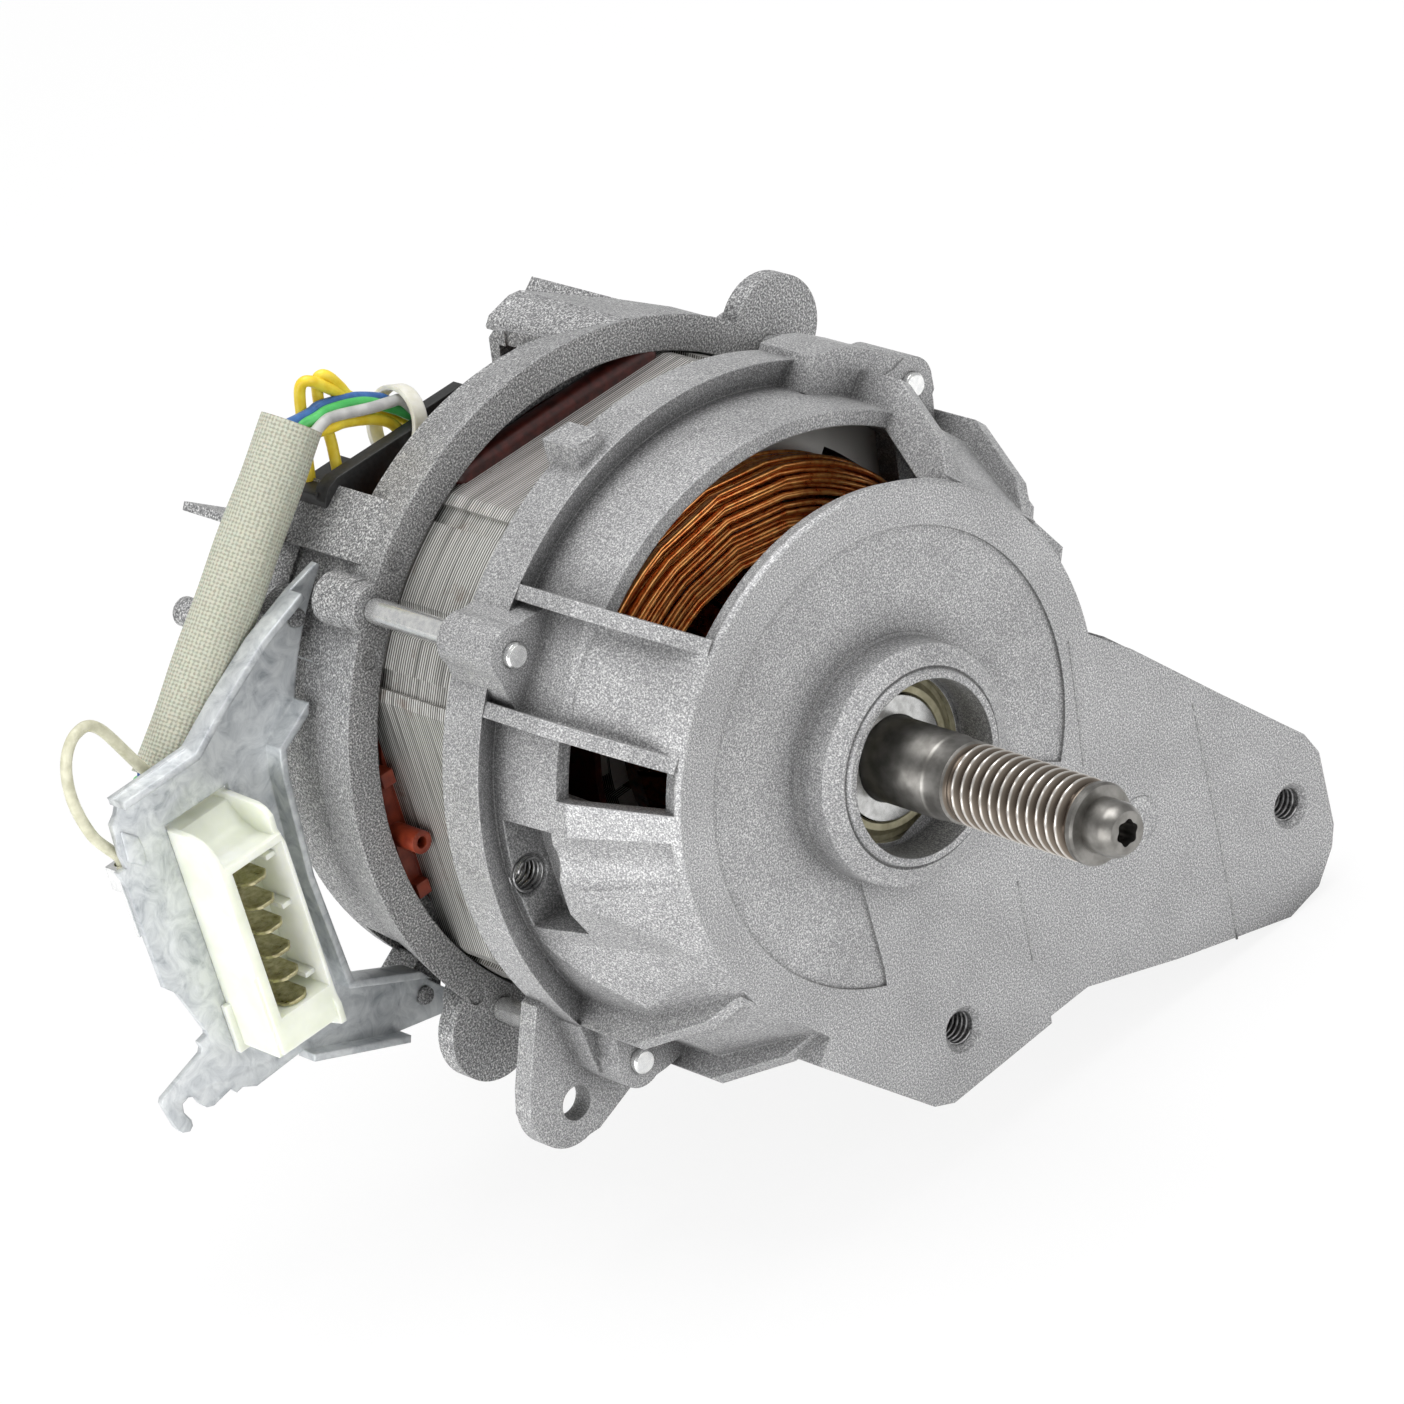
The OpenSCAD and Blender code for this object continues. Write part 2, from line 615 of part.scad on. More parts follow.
module armature_winding() {
    color("chocolate") difference() {
        union() {
            turned() polygon([[12, x_stack], [rotor_r - 3.6, x_stack], [rotor_r - 3, x_stack + 5],
                [rotor_r - 6, x_stack + 11], [rotor_r - 13, x_stack + 13.5], [12, x_stack + 12]]);
            turned() polygon([[12, x_stack_b], [rotor_r - 3.6, x_stack_b], [rotor_r - 3, x_stack_b - 4],
                [rotor_r - 8, x_stack_b - 6], [comm_r + 1, x_comm], [12, x_comm]]);
            prism(x_stack_b - 2, x_stack + 2) intersection() {
                slot_2d(-0.05);
                circle(r = rotor_r - 3.6, $fn = 96);
            }
        }
        for (i = [0:slot_count - 1])
            rotate([i * 360 / slot_count + 7.5, 0, 0]) {
                translate([x_stack + 4, rotor_r - 6, -0.5]) cube([12, 8, 1]);
                translate([x_stack_b - 12, rotor_r - 7, -0.5]) cube([8, 8, 1]);
            }
    }
}

module commutator() {
    color("orange") difference() {
        union() {
            rod(x_comm - comm_len, x_comm, comm_r);
            rod(x_comm - 3, x_comm, comm_r + 1.4);
        }
        rod(-150, 0, 9 + fit_gap);
        for (i = [0:slot_count - 1])
            rotate([i * 360 / slot_count, 0, 0])
                translate([x_comm - comm_len - 1, comm_r - 1.2, -0.3]) cube([comm_len + 2, 4, 0.6]);
    }
}

module fan() {
    color("ivory") difference() {
        union() {
            rod(x_stack + 15.5, x_stack + 17.5, 30);
            rod(x_stack + 15.5, x_stack + 23.5, 14);
            for (i = [0:8])
                rotate([i * 40, 0, 0]) translate([x_stack + 17, 12, -0.9]) cube([6.5, 18, 1.8]);
        }
        rod(-60, 0, 10.6 + fit_gap);
    }
}

// Bearings
module bearing_outer(x, w, r, r_track, r_ball) {
    difference() {
        rod(x - w, x, r);
        rod(x - w - 1, x + 1, r_track + r_ball * 0.62);
        turned(64) translate([r_track, x - w / 2]) circle(r = r_ball + 0.04, $fn = 32);
    }
}

module bearing_inner(x, w, r, r_track, r_ball) {
    difference() {
        rod(x - w, x, r_track - r_ball * 0.62);
        rod(x - w - 1, x + 1, r);
        turned(64) translate([r_track, x - w / 2]) circle(r = r_ball + 0.04, $fn = 32);
    }
}

module bearing_balls(x, w, r_track, r_ball, count) {
    for (i = [0:count - 1])
        rotate([i * 360 / count, 0, 0]) translate([x - w / 2, r_track, 0]) sphere(r = r_ball, $fn = 24);
    turned(48) translate([0, x - w / 2]) ring2d(r_track - 0.5, r_track + 0.5, -1.1, 1.1);
}

module front_bearing_outer_ring() {
    color("lightgray") bearing_outer(x_bearing, front_bearing_w, front_bearing_r, track_r, ball_r);
}

module front_bearing_inner_ring() {
    color("lightgray") bearing_inner(x_bearing, front_bearing_w, inner_seat_r, track_r, ball_r);
}

module front_bearing_balls() {
    color("silver") bearing_balls(x_bearing, front_bearing_w, track_r, ball_r, 8);
}

module front_bearing_shields() {
    color("khaki") {
        turned() polygon([[12.3, -1.2], [12.7, -0.5], [14, -0.4], [15.2, -1.5], [seal_r, -1.8],
            [seal_r, -2.4], [15, -2.1], [14, -1.1], [12.8, -1.2]]);
        turned() ring2d(12.3, seal_r, x_bearing - front_bearing_w + 0.4, x_bearing - front_bearing_w + 0.9);
    }
}

module rear_bearing_outer_ring() {
    color("lightgray") bearing_outer(x_rear - 1.5, rear_bearing_w, rear_bearing_r, rear_track_r, rear_ball_r);
}

module rear_bearing_inner_ring() {
    color("lightgray") bearing_inner(x_rear - 1.5, rear_bearing_w, rear_seat_r + 0.01, rear_track_r, rear_ball_r);
}

module rear_bearing_balls() {
    color("silver") bearing_balls(x_rear - 1.5, rear_bearing_w, rear_track_r, rear_ball_r, 8);
}

module wave_washer() {
    x0 = x_hub_b + 3;
    x1 = x_rear - 1.5 - rear_bearing_w;
    color("lightgray") {
        turned(48) ring2d(13.6, rear_bearing_r - 0.5, x0, x0 + 0.5);
        for (a = [0, 120, 240])
            turned_arc(a, a + 30) ring2d(14.2, rear_bearing_r - 1, x0 + 0.4, x1);
    }
}

// Brush gear
holder_in = comm_r + 2;
holder_out = 46;
holder_h = brush_t + 2 * holder_t + 2 * run_gap;
module brush_carrier() {
    color("black") difference() {
        union() {
            difference() {
                rod(x_carrier, -98.5, 58);
                rod(-110, -90, comm_r + 8);
                translate([-110, -34, -60]) cube([20, 68, 42]);
                translate([-110, 20, 18]) cube([20, 60, 60]);
            }
            translate([x_carrier, -40, 62]) cube([9, 37, 3]);
            translate([x_carrier, -32.5, 44]) cube([2.5, 26.5, 20]);
            translate([x_carrier, -40, 60]) cube([2.5, 37, 4]);
            for (s = [-1, 1])
                translate([x_carrier, s * 35 - 8, -9]) cube([3, 16, 18]);
            for (p = [[-35, 36], [-42, -30], [42, -30]])
                at(p) rod(x_rear + wall_t, x_carrier + 1, 3);
        }
        for (s = [-1, 1])
            translate([-110, s > 0 ? holder_in - 2 : -holder_out - 2, -holder_h / 2])
                cube([18.5, holder_out - holder_in + 4, holder_h]);
    }
}

module brush_holder(s) {
    x0 = x_brush - brush_w / 2 - holder_t - run_gap;
    w = brush_w + 2 * holder_t + 2 * run_gap;
    h = holder_h;
    color("gold") rotate([s > 0 ? 0 : 180, 0, 0]) {
        difference() {
            translate([x0, holder_in, -h / 2]) cube([w, holder_out - holder_in, h]);
            translate([x0 + holder_t, holder_in - 1, -h / 2 + holder_t])
                cube([w - 2 * holder_t, holder_out - holder_in - 0.2, h - 2 * holder_t]);
        }
        translate([x_carrier - 1, holder_in + 4, -h / 2 - 4]) cube([1, 14, h + 8]);
    }
}

module brush_holder_left() { brush_holder(-1); }
module brush_holder_right() { brush_holder(1); }

module carbon_brush(s) {
    color("dimgray") rotate([s > 0 ? 0 : 180, 0, 0]) difference() {
        translate([x_brush - brush_w / 2, comm_r - 1, -brush_t / 2]) cube([brush_w, 17, brush_t]);
        rod(-150, 0, comm_r + 0.02);
    }
}

module carbon_brush_left() { carbon_brush(-1); }
module carbon_brush_right() { carbon_brush(1); }

module brush_spring(s) {
    y0 = comm_r + 16;
    y1 = holder_out - 1.2;
    turns = 5;
    path = [for (k = [0:turns * 10]) let (a = 36 * k, y = y0 + 0.4 + (y1 - y0 - 0.8) * k / (turns * 10))
        [x_brush + 2.3 * cos(a), y, 2.3 * sin(a)]];
    color("lightgray") rotate([s > 0 ? 0 : 180, 0, 0])
        swept(path, carry(path, 0, [0, 1, 0]), 0.4, 6);
}

module brush_spring_left() { brush_spring(-1); }
module brush_spring_right() { brush_spring(1); }

// Speed sensor
module tacho_magnet() {
    color("dimgray") difference() {
        rod(x_hub_b - 9, x_hub_b - 2, 9);
        rod(-160, 0, 5.5 + 0.01);
    }
}

module tacho_coil() {
    color("black") difference() {
        rod(x_hub_b - 9, x_hub_b - 1, 17);
        rod(-160, 0, 10.2);
        turned(64) ring2d(14, 20, x_hub_b - 7, x_hub_b - 3);
    }
    color("orange") turned(64) ring2d(13.9, 16.4, x_hub_b - 7, x_hub_b - 3);
}

module tacho_cover() {
    color("black") {
        difference() {
            rod(x_hub_b - 12, x_hub_b, 20);
            rod(x_hub_b - 10.5, x_hub_b + 1, 17 + fit_gap);
        }
        for (a = [45, 225])
            rotate([a, 0, 0]) translate([x_hub_b - 3, 18, -3]) cube([3, 3, 6]);
    }
}

// Connector bracket with the socket
module bracket_sheet() {
    difference() {
        polygon(bracket_edge);
        translate([-99.7, -29.5]) square([16, 49.8]);
        for (p = rivet_at)
            translate(p) circle(r = rivet_r + fit_gap, $fn = 24);
        circle(r = sheet_clip_r, $fn = 96);
    }
}

function left_of(v) = unit([-v[1], v[0]]);
function mitre(p, i) =
    let (n0 = left_of(p[max(i, 1)] - p[max(i, 1) - 1]),
        n1 = left_of(p[min(i + 1, len(p) - 1)] - p[min(i, len(p) - 2)]))
    (n0 + n1) / (1 + n0 * n1);

module fold(p, h) {
    inner = [for (i = [len(p) - 1:-1:0]) p[i] - sheet_t * mitre(p, i)];
    prism(x_sheet - sheet_t, x_sheet + h) difference() {
        polygon(concat(p, inner));
        circle(r = sheet_clip_r, $fn = 96);
    }
}

module connector_bracket() {
    color("lightsteelblue") {
        prism(x_sheet - sheet_t, x_sheet) bracket_sheet();
        fold(fold_in, 4.5);
        fold(fold_out, 3.5);
        fold([[-86.8, -39.3], [-64.9, -48.6]], 3.5);
    }
}

module connector_housing() {
    x1 = x_sheet + socket_d;
    color("ivory") difference() {
        union() {
            translate([x_sheet - 5, -99.6, -29.4]) cube([socket_d + 5, 15.8, 49.6]);
            translate([x_sheet, -101.2, -31]) cube([1.6, 19, 53]);
            translate([x_sheet, -98.6, 20]) cube([socket_d, 1.4, 6]);
            translate([x_sheet, -85.2, 20]) cube([socket_d, 1.4, 4]);
        }
        translate([x_sheet + 2, -97.4, -23.4]) cube([socket_d, 12, 37]);
        translate([x1 - 5, -98.2, 14.6]) cube([6, 13, 4.2]);
        for (i = [0:5])
            translate([x_sheet - 7, -94.6, blade_z(i) - 1.2]) cube([10, 6.6, 2.4]);
    }
}

function blade_z(i) = 6.2 - i * blade_pitch;

module blade_terminals() {
    color("gold") for (i = [0:5])
        translate([0, -91.3, blade_z(i)]) difference() {
            union() {
                translate([x_sheet - 5, -blade_w / 2, -0.4]) cube([socket_d + 4, blade_w, 0.8]);
                translate([x_sheet - 9, -1.6, -0.9]) cube([5, 3.2, 1.8]);
                translate([x_sheet - 3, -blade_w / 2, -1.2]) cube([4, blade_w, 2.4]);
            }
            translate([x_sheet + 11, 0, -2]) cylinder(h = 4, r = 0.9, $fn = 16);
        }
}

// Leads and their sleeve
sleeve_top = [x_sheet - sheet_t - sleeve_r, -40.5, 74];
sleeve_end = [x_sheet - sheet_t - sleeve_r, -88, 26.4];
sleeve_t = 0.8;
sleeve_dir = unit(sleeve_end - sleeve_top);
module harness_sleeve() {
    d = sleeve_end - sleeve_top;
    color("beige") translate(sleeve_top) rotate([atan2(d[2], d[1]) - 90, 0, 0]) difference() {
        cylinder(h = norm(d), r = sleeve_r);
        translate([0, 0, -1]) cylinder(h = norm(d) + 2, r = sleeve_r - sleeve_t);
    }
}

function in_sleeve(i, t) = let (a = 60 * i, side = cross(sleeve_dir, [1, 0, 0]))
    sleeve_top + (sleeve_end - sleeve_top) * t
    + (sleeve_r - sleeve_t - lead_r) * (cos(a) * [1, 0, 0] + sin(a) * side);
function to_blade(i, k) = let (x_lane = x_sheet - 10.6 - 3 * k)
    [in_sleeve(i, 1.01), [x_lane, -91.3, 19], [x_lane, -91.3, blade_z(k) + 2],
    [x_lane + 1, -91.3, blade_z(k)], [x_sheet - 9, -91.3, blade_z(k)]];

module lead_yellow_a() {
    color("yellow") lead([[-97.5, -33.8, 65], [-97.5, -33.8, 70], [-98.9, -33.2, 76.1], [-104, -28.5, 77.3],
        [-108.1, -21.8, 68], [-108.1, -15.8, 64.2], [-108.1, -8, 57], [-102.15, -3, 49.5]], 2);
}

module lead_yellow_b() {
    color("yellow") lead([[-93.5, -38, 65], [-93.3, -39, 71], [-96, -38, 79.3], [-105, -31.2, 78],
        [-110.5, -21.8, 68.6], [-110.5, -14.4, 62.5], [-110.5, -10, 56], [-102.15, -8.5, 48]], 2);
}

module lead_yellow_c() {
    color("yellow") lead(concat([[-102.15, -15.5, 53], [-105, -15.4, 59.4], [-105.7, -18.6, 62.6],
        [-105.9, -25, 64.7], [-106.3, -30, 65.3], in_sleeve(4, -0.01)], to_blade(4, 2)), 1);
}

module lead_blue() {
    color("blue") lead(concat([[-102.15, -2, 60], [-103.3, -12, 63], [-103.3, -18.7, 67.3],
        [-103.3, -24.8, 70.6], [-103.3, -31.5, 72.3], in_sleeve(1, -0.01)], to_blade(1, 0)), 1);
}

module lead_green() {
    color("green") lead(concat([[-102.15, -5, 54], [-105.7, -12, 61.5], [-105.7, -17.7, 64.7],
        [-105.7, -27.1, 68.8], in_sleeve(3, -0.01)], to_blade(3, 3)), 1);
}

module lead_grey() {
    color("gray") lead(concat([[-102.15, -12, 53.5], [-103.3, -12.5, 60.5], [-103.3, -19.6, 64.9],
        [-103.3, -29.5, 67.9], in_sleeve(5, -0.01)], to_blade(5, 1)), 1);
}

module earth_lead() {
    color("linen") lead([in_sleeve(0, 0.94), in_sleeve(0, 1.02), [-98, -96, 30], [-98, -103.5, 43],
        [-97, -109, 45], [-97, -113, 41], [-97, -114.5, 34], [-97, -113, 25],
        [-96.2, -109.6, 18.4], [-96.2, -109.6, 15.5], [-96.2, -109.6, 12.5]]);
}

module earth_crimp() {
    color("lightgray") {
        difference() {
            translate([-98.2, -112, 12]) cube([3.7, 4.8, 5]);
            at([0, 0]) translate([-96.2, -109.6, 11]) cylinder(h = 8, r = lead_r + 0.15, $fn = 16);
        }
        translate([-95.3, -112, 2]) cube([0.8, 4.8, 11]);
    }
}

module cable_tie() {
    color("white") translate([x_carrier - 6.4, -15.5, 64]) rotate([-40, 0, 0]) difference() {
        union() {
            rotate([90, 0, 0]) translate([0, 0, -1.5]) cylinder(h = 3, r = 6.4);
            translate([-2, -2.2, 5.6]) cube([4, 4.4, 3]);
        }
        rotate([90, 0, 0]) translate([0, 0, -3]) cylinder(h = 6, r = 5.6);
    }
}

front_end_shield();
rear_end_shield();
stator_core();
field_coil_upper();
field_coil_lower();
coil_former();
slot_insulation();
through_bolts();
rotor_shaft();
armature_core();
armature_winding();
commutator();
fan();
front_bearing_outer_ring();
front_bearing_inner_ring();
front_bearing_balls();
front_bearing_shields();
rear_bearing_outer_ring();
rear_bearing_inner_ring();
rear_bearing_balls();
wave_washer();
brush_carrier();
brush_holder_left();
brush_holder_right();
carbon_brush_left();
carbon_brush_right();
brush_spring_left();
brush_spring_right();
tacho_magnet();
tacho_coil();
tacho_cover();
connector_bracket();
connector_housing();
blade_terminals();
harness_sleeve();
lead_yellow_a();
lead_yellow_b();
lead_yellow_c();
lead_blue();
lead_green();
lead_grey();
earth_lead();
earth_crimp();
cable_tie();
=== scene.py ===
import math
import random
import bmesh
import bpy
from mathutils import Matrix, Vector


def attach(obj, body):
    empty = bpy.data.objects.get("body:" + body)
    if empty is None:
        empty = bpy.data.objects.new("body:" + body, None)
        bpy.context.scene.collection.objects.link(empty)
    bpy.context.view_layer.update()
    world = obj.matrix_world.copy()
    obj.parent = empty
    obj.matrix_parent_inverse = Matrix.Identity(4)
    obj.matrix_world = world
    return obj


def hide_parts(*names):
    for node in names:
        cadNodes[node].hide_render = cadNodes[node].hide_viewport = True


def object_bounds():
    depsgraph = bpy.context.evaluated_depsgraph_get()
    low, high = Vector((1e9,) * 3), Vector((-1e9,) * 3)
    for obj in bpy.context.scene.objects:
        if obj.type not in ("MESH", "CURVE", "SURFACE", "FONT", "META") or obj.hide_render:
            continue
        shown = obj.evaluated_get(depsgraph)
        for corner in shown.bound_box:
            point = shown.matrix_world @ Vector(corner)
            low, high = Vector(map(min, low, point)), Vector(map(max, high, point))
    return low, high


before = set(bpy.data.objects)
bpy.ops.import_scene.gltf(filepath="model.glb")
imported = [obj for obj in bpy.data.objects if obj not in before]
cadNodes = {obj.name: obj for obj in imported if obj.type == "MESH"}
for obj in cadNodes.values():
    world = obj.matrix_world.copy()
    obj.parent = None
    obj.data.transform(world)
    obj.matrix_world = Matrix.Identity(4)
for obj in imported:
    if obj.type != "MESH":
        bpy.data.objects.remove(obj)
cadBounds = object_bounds()
mm = 0.001  # sizes below are in millimetres and scaled once
print("frame loaded,", len(cadNodes), "nodes")


# Camera, in front of the pulley end, a little to the left and above
cameraSettings = {"lens": 191.504, "sensor": 36, "place": (989.49, -720.42, 680.66),
                  "right": (0.65605, 0.71063, -0.25418), "up": (-0.20923, 0.49484, 0.84342),
                  "back": (0.72514, -0.50014, 0.47332)}


def addCamera(s):
    data = bpy.data.cameras.new("studioCamera")
    data.lens = s["lens"]
    data.sensor_width = s["sensor"]
    data.clip_start = 0.05
    data.clip_end = 30
    camera = bpy.data.objects.new("studioCamera", data)
    turn = Matrix((s["right"], s["up"], s["back"])).transposed().to_4x4()
    camera.matrix_world = Matrix.Translation(Vector(s["place"]) * mm) @ turn
    bpy.context.scene.collection.objects.link(camera)
    bpy.context.scene.camera = camera


addCamera(cameraSettings)


# Helpers for materials
def srgb(code):
    parts = [int(code[i:i + 2], 16) / 255 for i in (1, 3, 5)]
    return tuple(c / 12.92 if c <= 0.04045 else ((c + 0.055) / 1.055) ** 2.4 for c in parts) + (1.0,)


def addNode(mat, kind, settings=None, links=None):
    # settings set the node's properties or inputs; links name a source node and its output
    n = mat.node_tree.nodes.new("ShaderNode" + kind)
    for key, value in (settings or {}).items():
        if isinstance(key, str) and hasattr(n, key):
            setattr(n, key, value)
        else:
            n.inputs[key].default_value = value
    for key, (source, output) in (links or {}).items():
        mat.node_tree.links.new(source.outputs[output], n.inputs[key])
    return n


def newMaterial(name):
    mat = bpy.data.materials.new(name)
    mat.use_nodes = True
    mat.node_tree.nodes.clear()
    return mat, addNode(mat, "TexCoord")


def closeMaterial(mat, surface, output):
    addNode(mat, "OutputMaterial", links={"Surface": (surface, output)})
    return mat


def setRamp(ramp, stops):
    elements = ramp.color_ramp.elements
    while len(elements) < len(stops):
        elements.new(0.5)
    for element, (place, color) in zip(elements, stops):
        element.position = place
        element.color = srgb(color)


def perMetre(size):
    return 1 / (size * mm)  # texture scale for one cell in this many millimetres


def addMottle(mat, place, size, stops, settings):
    # noise of one cell size, and its colours by the noise's value
    noise = addNode(mat, "TexNoise", dict(settings, Scale=perMetre(size)), {"Vector": (place, "Object")})
    ramp = addNode(mat, "ValToRGB", links={"Fac": (noise, "Fac")})
    setRamp(ramp, stops)
    return noise, ramp


# Materials
castSettings = {"low": "#747476", "mid": "#9a9a9b", "high": "#dcdcdb", "grain": 0.33, "cloud": 14,
                "metallic": 0.45, "roughness": 0.5, "bump": 0.24, "edge": 0.5, "creaseShade": 9}
# the rear shield's copy: coarser grain as cast, and darker low and mid tones as painted shade for the shade
# it sits in behind the front shield and stator
rearCastSettings = dict(castSettings, low="#58585a", mid="#8e8e8f", high="#e8e8e7", grain=0.4, bump=0.36,
                        roughness=0.55)


def dieCastAluminium(name, s):
    # die-cast aluminium, shot blasted: grey with bright and dark grains, soft edges painted lighter (partly
    # wear, partly a painted highlight), and painted shade in corners and creases
    mat, place = newMaterial(name)
    grain, ramp = addMottle(mat, place, s["grain"], [(0.33, s["low"]), (0.5, s["mid"]), (0.68, s["high"])],
                            {"Detail": 2.0, "Roughness": 0.65})
    cloud = addNode(mat, "TexNoise", {"Scale": perMetre(s["cloud"]), "Detail": 4.0},
                    {"Vector": (place, "Object")})
    lift = addNode(mat, "MapRange", {"From Min": 0.3, "From Max": 0.7, "To Min": 0.9, "To Max": 1.08},
                   {"Value": (cloud, "Fac")})
    tone = addNode(mat, "VectorMath", {"operation": "SCALE"},
                   {0: (ramp, "Color"), "Scale": (lift, "Result")})
    soft = addNode(mat, "Bevel", {"samples": 4, "Radius": s["edge"] * mm})
    face = addNode(mat, "NewGeometry")
    match = addNode(mat, "VectorMath", {"operation": "DOT_PRODUCT"},
                    {0: (soft, "Normal"), 1: (face, "Normal")})
    # edges painted lighter, inner edges too: partly wear, partly a painted highlight
    edgeWearAndHighlight = addNode(mat, "MapRange", {"From Min": 0.99, "From Max": 0.8, "To Min": 0.0, "To Max": 0.2},
                   {"Value": (match, "Value")})
    edge = addNode(mat, "Mix", {"data_type": "RGBA", 7: srgb("#e6e6e4")},
                   {0: (edgeWearAndHighlight, "Result"), 6: (tone, "Vector")})
    # painted shade: ambient occlusion darkens corners, creases and recesses
    creaseShade = addNode(mat, "AmbientOcclusion", {"samples": 6, "Distance": s["creaseShade"] * mm})
    paintedCreaseShade = addNode(mat, "MapRange", {"From Min": 0.35, "From Max": 0.95, "To Min": 0.42, "To Max": 1.0},
                   {"Value": (creaseShade, "AO")})
    shaded = addNode(mat, "VectorMath", {"operation": "SCALE"}, {0: (edge, 2), "Scale": (paintedCreaseShade, "Result")})
    bump = addNode(mat, "Bump", {"Strength": s["bump"], "Distance": 0.12 * mm},
                   {"Height": (grain, "Fac"), "Normal": (soft, "Normal")})
    rough = addNode(mat, "MapRange", {"To Min": s["roughness"] - 0.1, "To Max": s["roughness"] + 0.1},
                    {"Value": (grain, "Fac")})
    skin = addNode(mat, "BsdfPrincipled", {"Metallic": s["metallic"]},
                   {"Base Color": (shaded, "Vector"), "Roughness": (rough, "Result"),
                    "Normal": (bump, "Normal")})
    return closeMaterial(mat, skin, "BSDF")


laminationSettings = {"sheet": 0.65, "light": "#e4e3df", "dark": "#55524d", "stain": "#6b4a33",
                      "metallic": 0.6, "roughness": 0.36}


def siliconSteelLaminations(name, s):
    # punched silicon steel sheets on edge: fine stripes of light and dark grey, with some rust stains
    mat, place = newMaterial(name)
    bands = addNode(mat, "TexWave", {"wave_type": "BANDS", "bands_direction": "X",
                                     "Scale": math.pi / 10 * perMetre(s["sheet"]),
                                     "Distortion": 0.4, "Detail": 1.0, "Detail Scale": 0.2},
                    {"Vector": (place, "Object")})
    stretch = addNode(mat, "Mapping", {"Scale": (perMetre(s["sheet"]), perMetre(25), perMetre(25))},
                      {"Vector": (place, "Object")})
    sheets = addNode(mat, "TexNoise", {"Scale": 1.0, "Detail": 1.0}, {"Vector": (stretch, "Vector")})
    blendTwo = addNode(mat, "Math", {"operation": "MULTIPLY"}, {0: (bands, "Fac"), 1: (sheets, "Fac")})
    ramp = addNode(mat, "ValToRGB", links={"Fac": (blendTwo, "Value")})
    setRamp(ramp, [(0.05, s["dark"]), (0.45, s["light"])])
    blot = addNode(mat, "TexNoise", {"Scale": perMetre(9), "Detail": 5.0, "Roughness": 0.7},
                   {"Vector": (place, "Object")})
    amount = addNode(mat, "MapRange", {"From Min": 0.6, "From Max": 0.75, "To Max": 0.6},
                     {"Value": (blot, "Fac")})
    tone = addNode(mat, "Mix", {"data_type": "RGBA", 7: srgb(s["stain"])},
                   {0: (amount, "Result"), 6: (ramp, "Color")})
    bump = addNode(mat, "Bump", {"Strength": 0.5, "Distance": 0.1 * mm}, {"Height": (bands, "Fac")})
    skin = addNode(mat, "BsdfPrincipled", {"Metallic": s["metallic"], "Roughness": s["roughness"]},
                   {"Base Color": (tone, 2), "Normal": (bump, "Normal")})
    return closeMaterial(mat, skin, "BSDF")


def plainMetal(name, base, second, grain, metallic, roughness, bumpDepth):
    # plain metal: soft specks of two near tones, and edges that catch the light
    mat, place = newMaterial(name)
    noise, ramp = addMottle(mat, place, grain, [(0.35, second), (0.65, base)],
                            {"Detail": 3.0, "Roughness": 0.6})
    soft = addNode(mat, "Bevel", {"samples": 4, "Radius": 0.2 * mm})
    bump = addNode(mat, "Bump", {"Strength": 0.4, "Distance": bumpDepth * mm},
                   {"Height": (noise, "Fac"), "Normal": (soft, "Normal")})
    rough = addNode(mat, "MapRange", {"To Min": roughness - 0.08, "To Max": roughness + 0.08},
                    {"Value": (noise, "Fac")})
    skin = addNode(mat, "BsdfPrincipled", {"Metallic": metallic},
                   {"Base Color": (ramp, "Color"), "Roughness": (rough, "Result"),
                    "Normal": (bump, "Normal")})
    return closeMaterial(mat, skin, "BSDF")


def plainPlastic(name, base, second, grain, roughness, bumpDepth, subsurface=0.0, coat=0.0, radius=2.0):
    # moulded plastic: two near tones in soft clouds, rounded edges, and light let into the pale ones
    mat, place = newMaterial(name)
    noise, ramp = addMottle(mat, place, grain, [(0.35, second), (0.65, base)], {"Detail": 3.0})
    soft = addNode(mat, "Bevel", {"samples": 4, "Radius": 0.25 * mm})
    bump = addNode(mat, "Bump", {"Strength": 0.3, "Distance": bumpDepth * mm},
                   {"Height": (noise, "Fac"), "Normal": (soft, "Normal")})
    skin = addNode(mat, "BsdfPrincipled", {"Roughness": roughness, "Subsurface Weight": subsurface,
                                           "Coat Weight": coat, "Subsurface Radius": (1.0, 1.0, 0.7),
                                           "Subsurface Scale": radius * mm},
                   {"Base Color": (ramp, "Color"), "Normal": (bump, "Normal")})
    return closeMaterial(mat, skin, "BSDF")


galvanisedSettings = {"spangle": 9, "light": "#d6d9da", "dark": "#babec1", "smear": "#9a9fa4",
                      "metallic": 0.55}


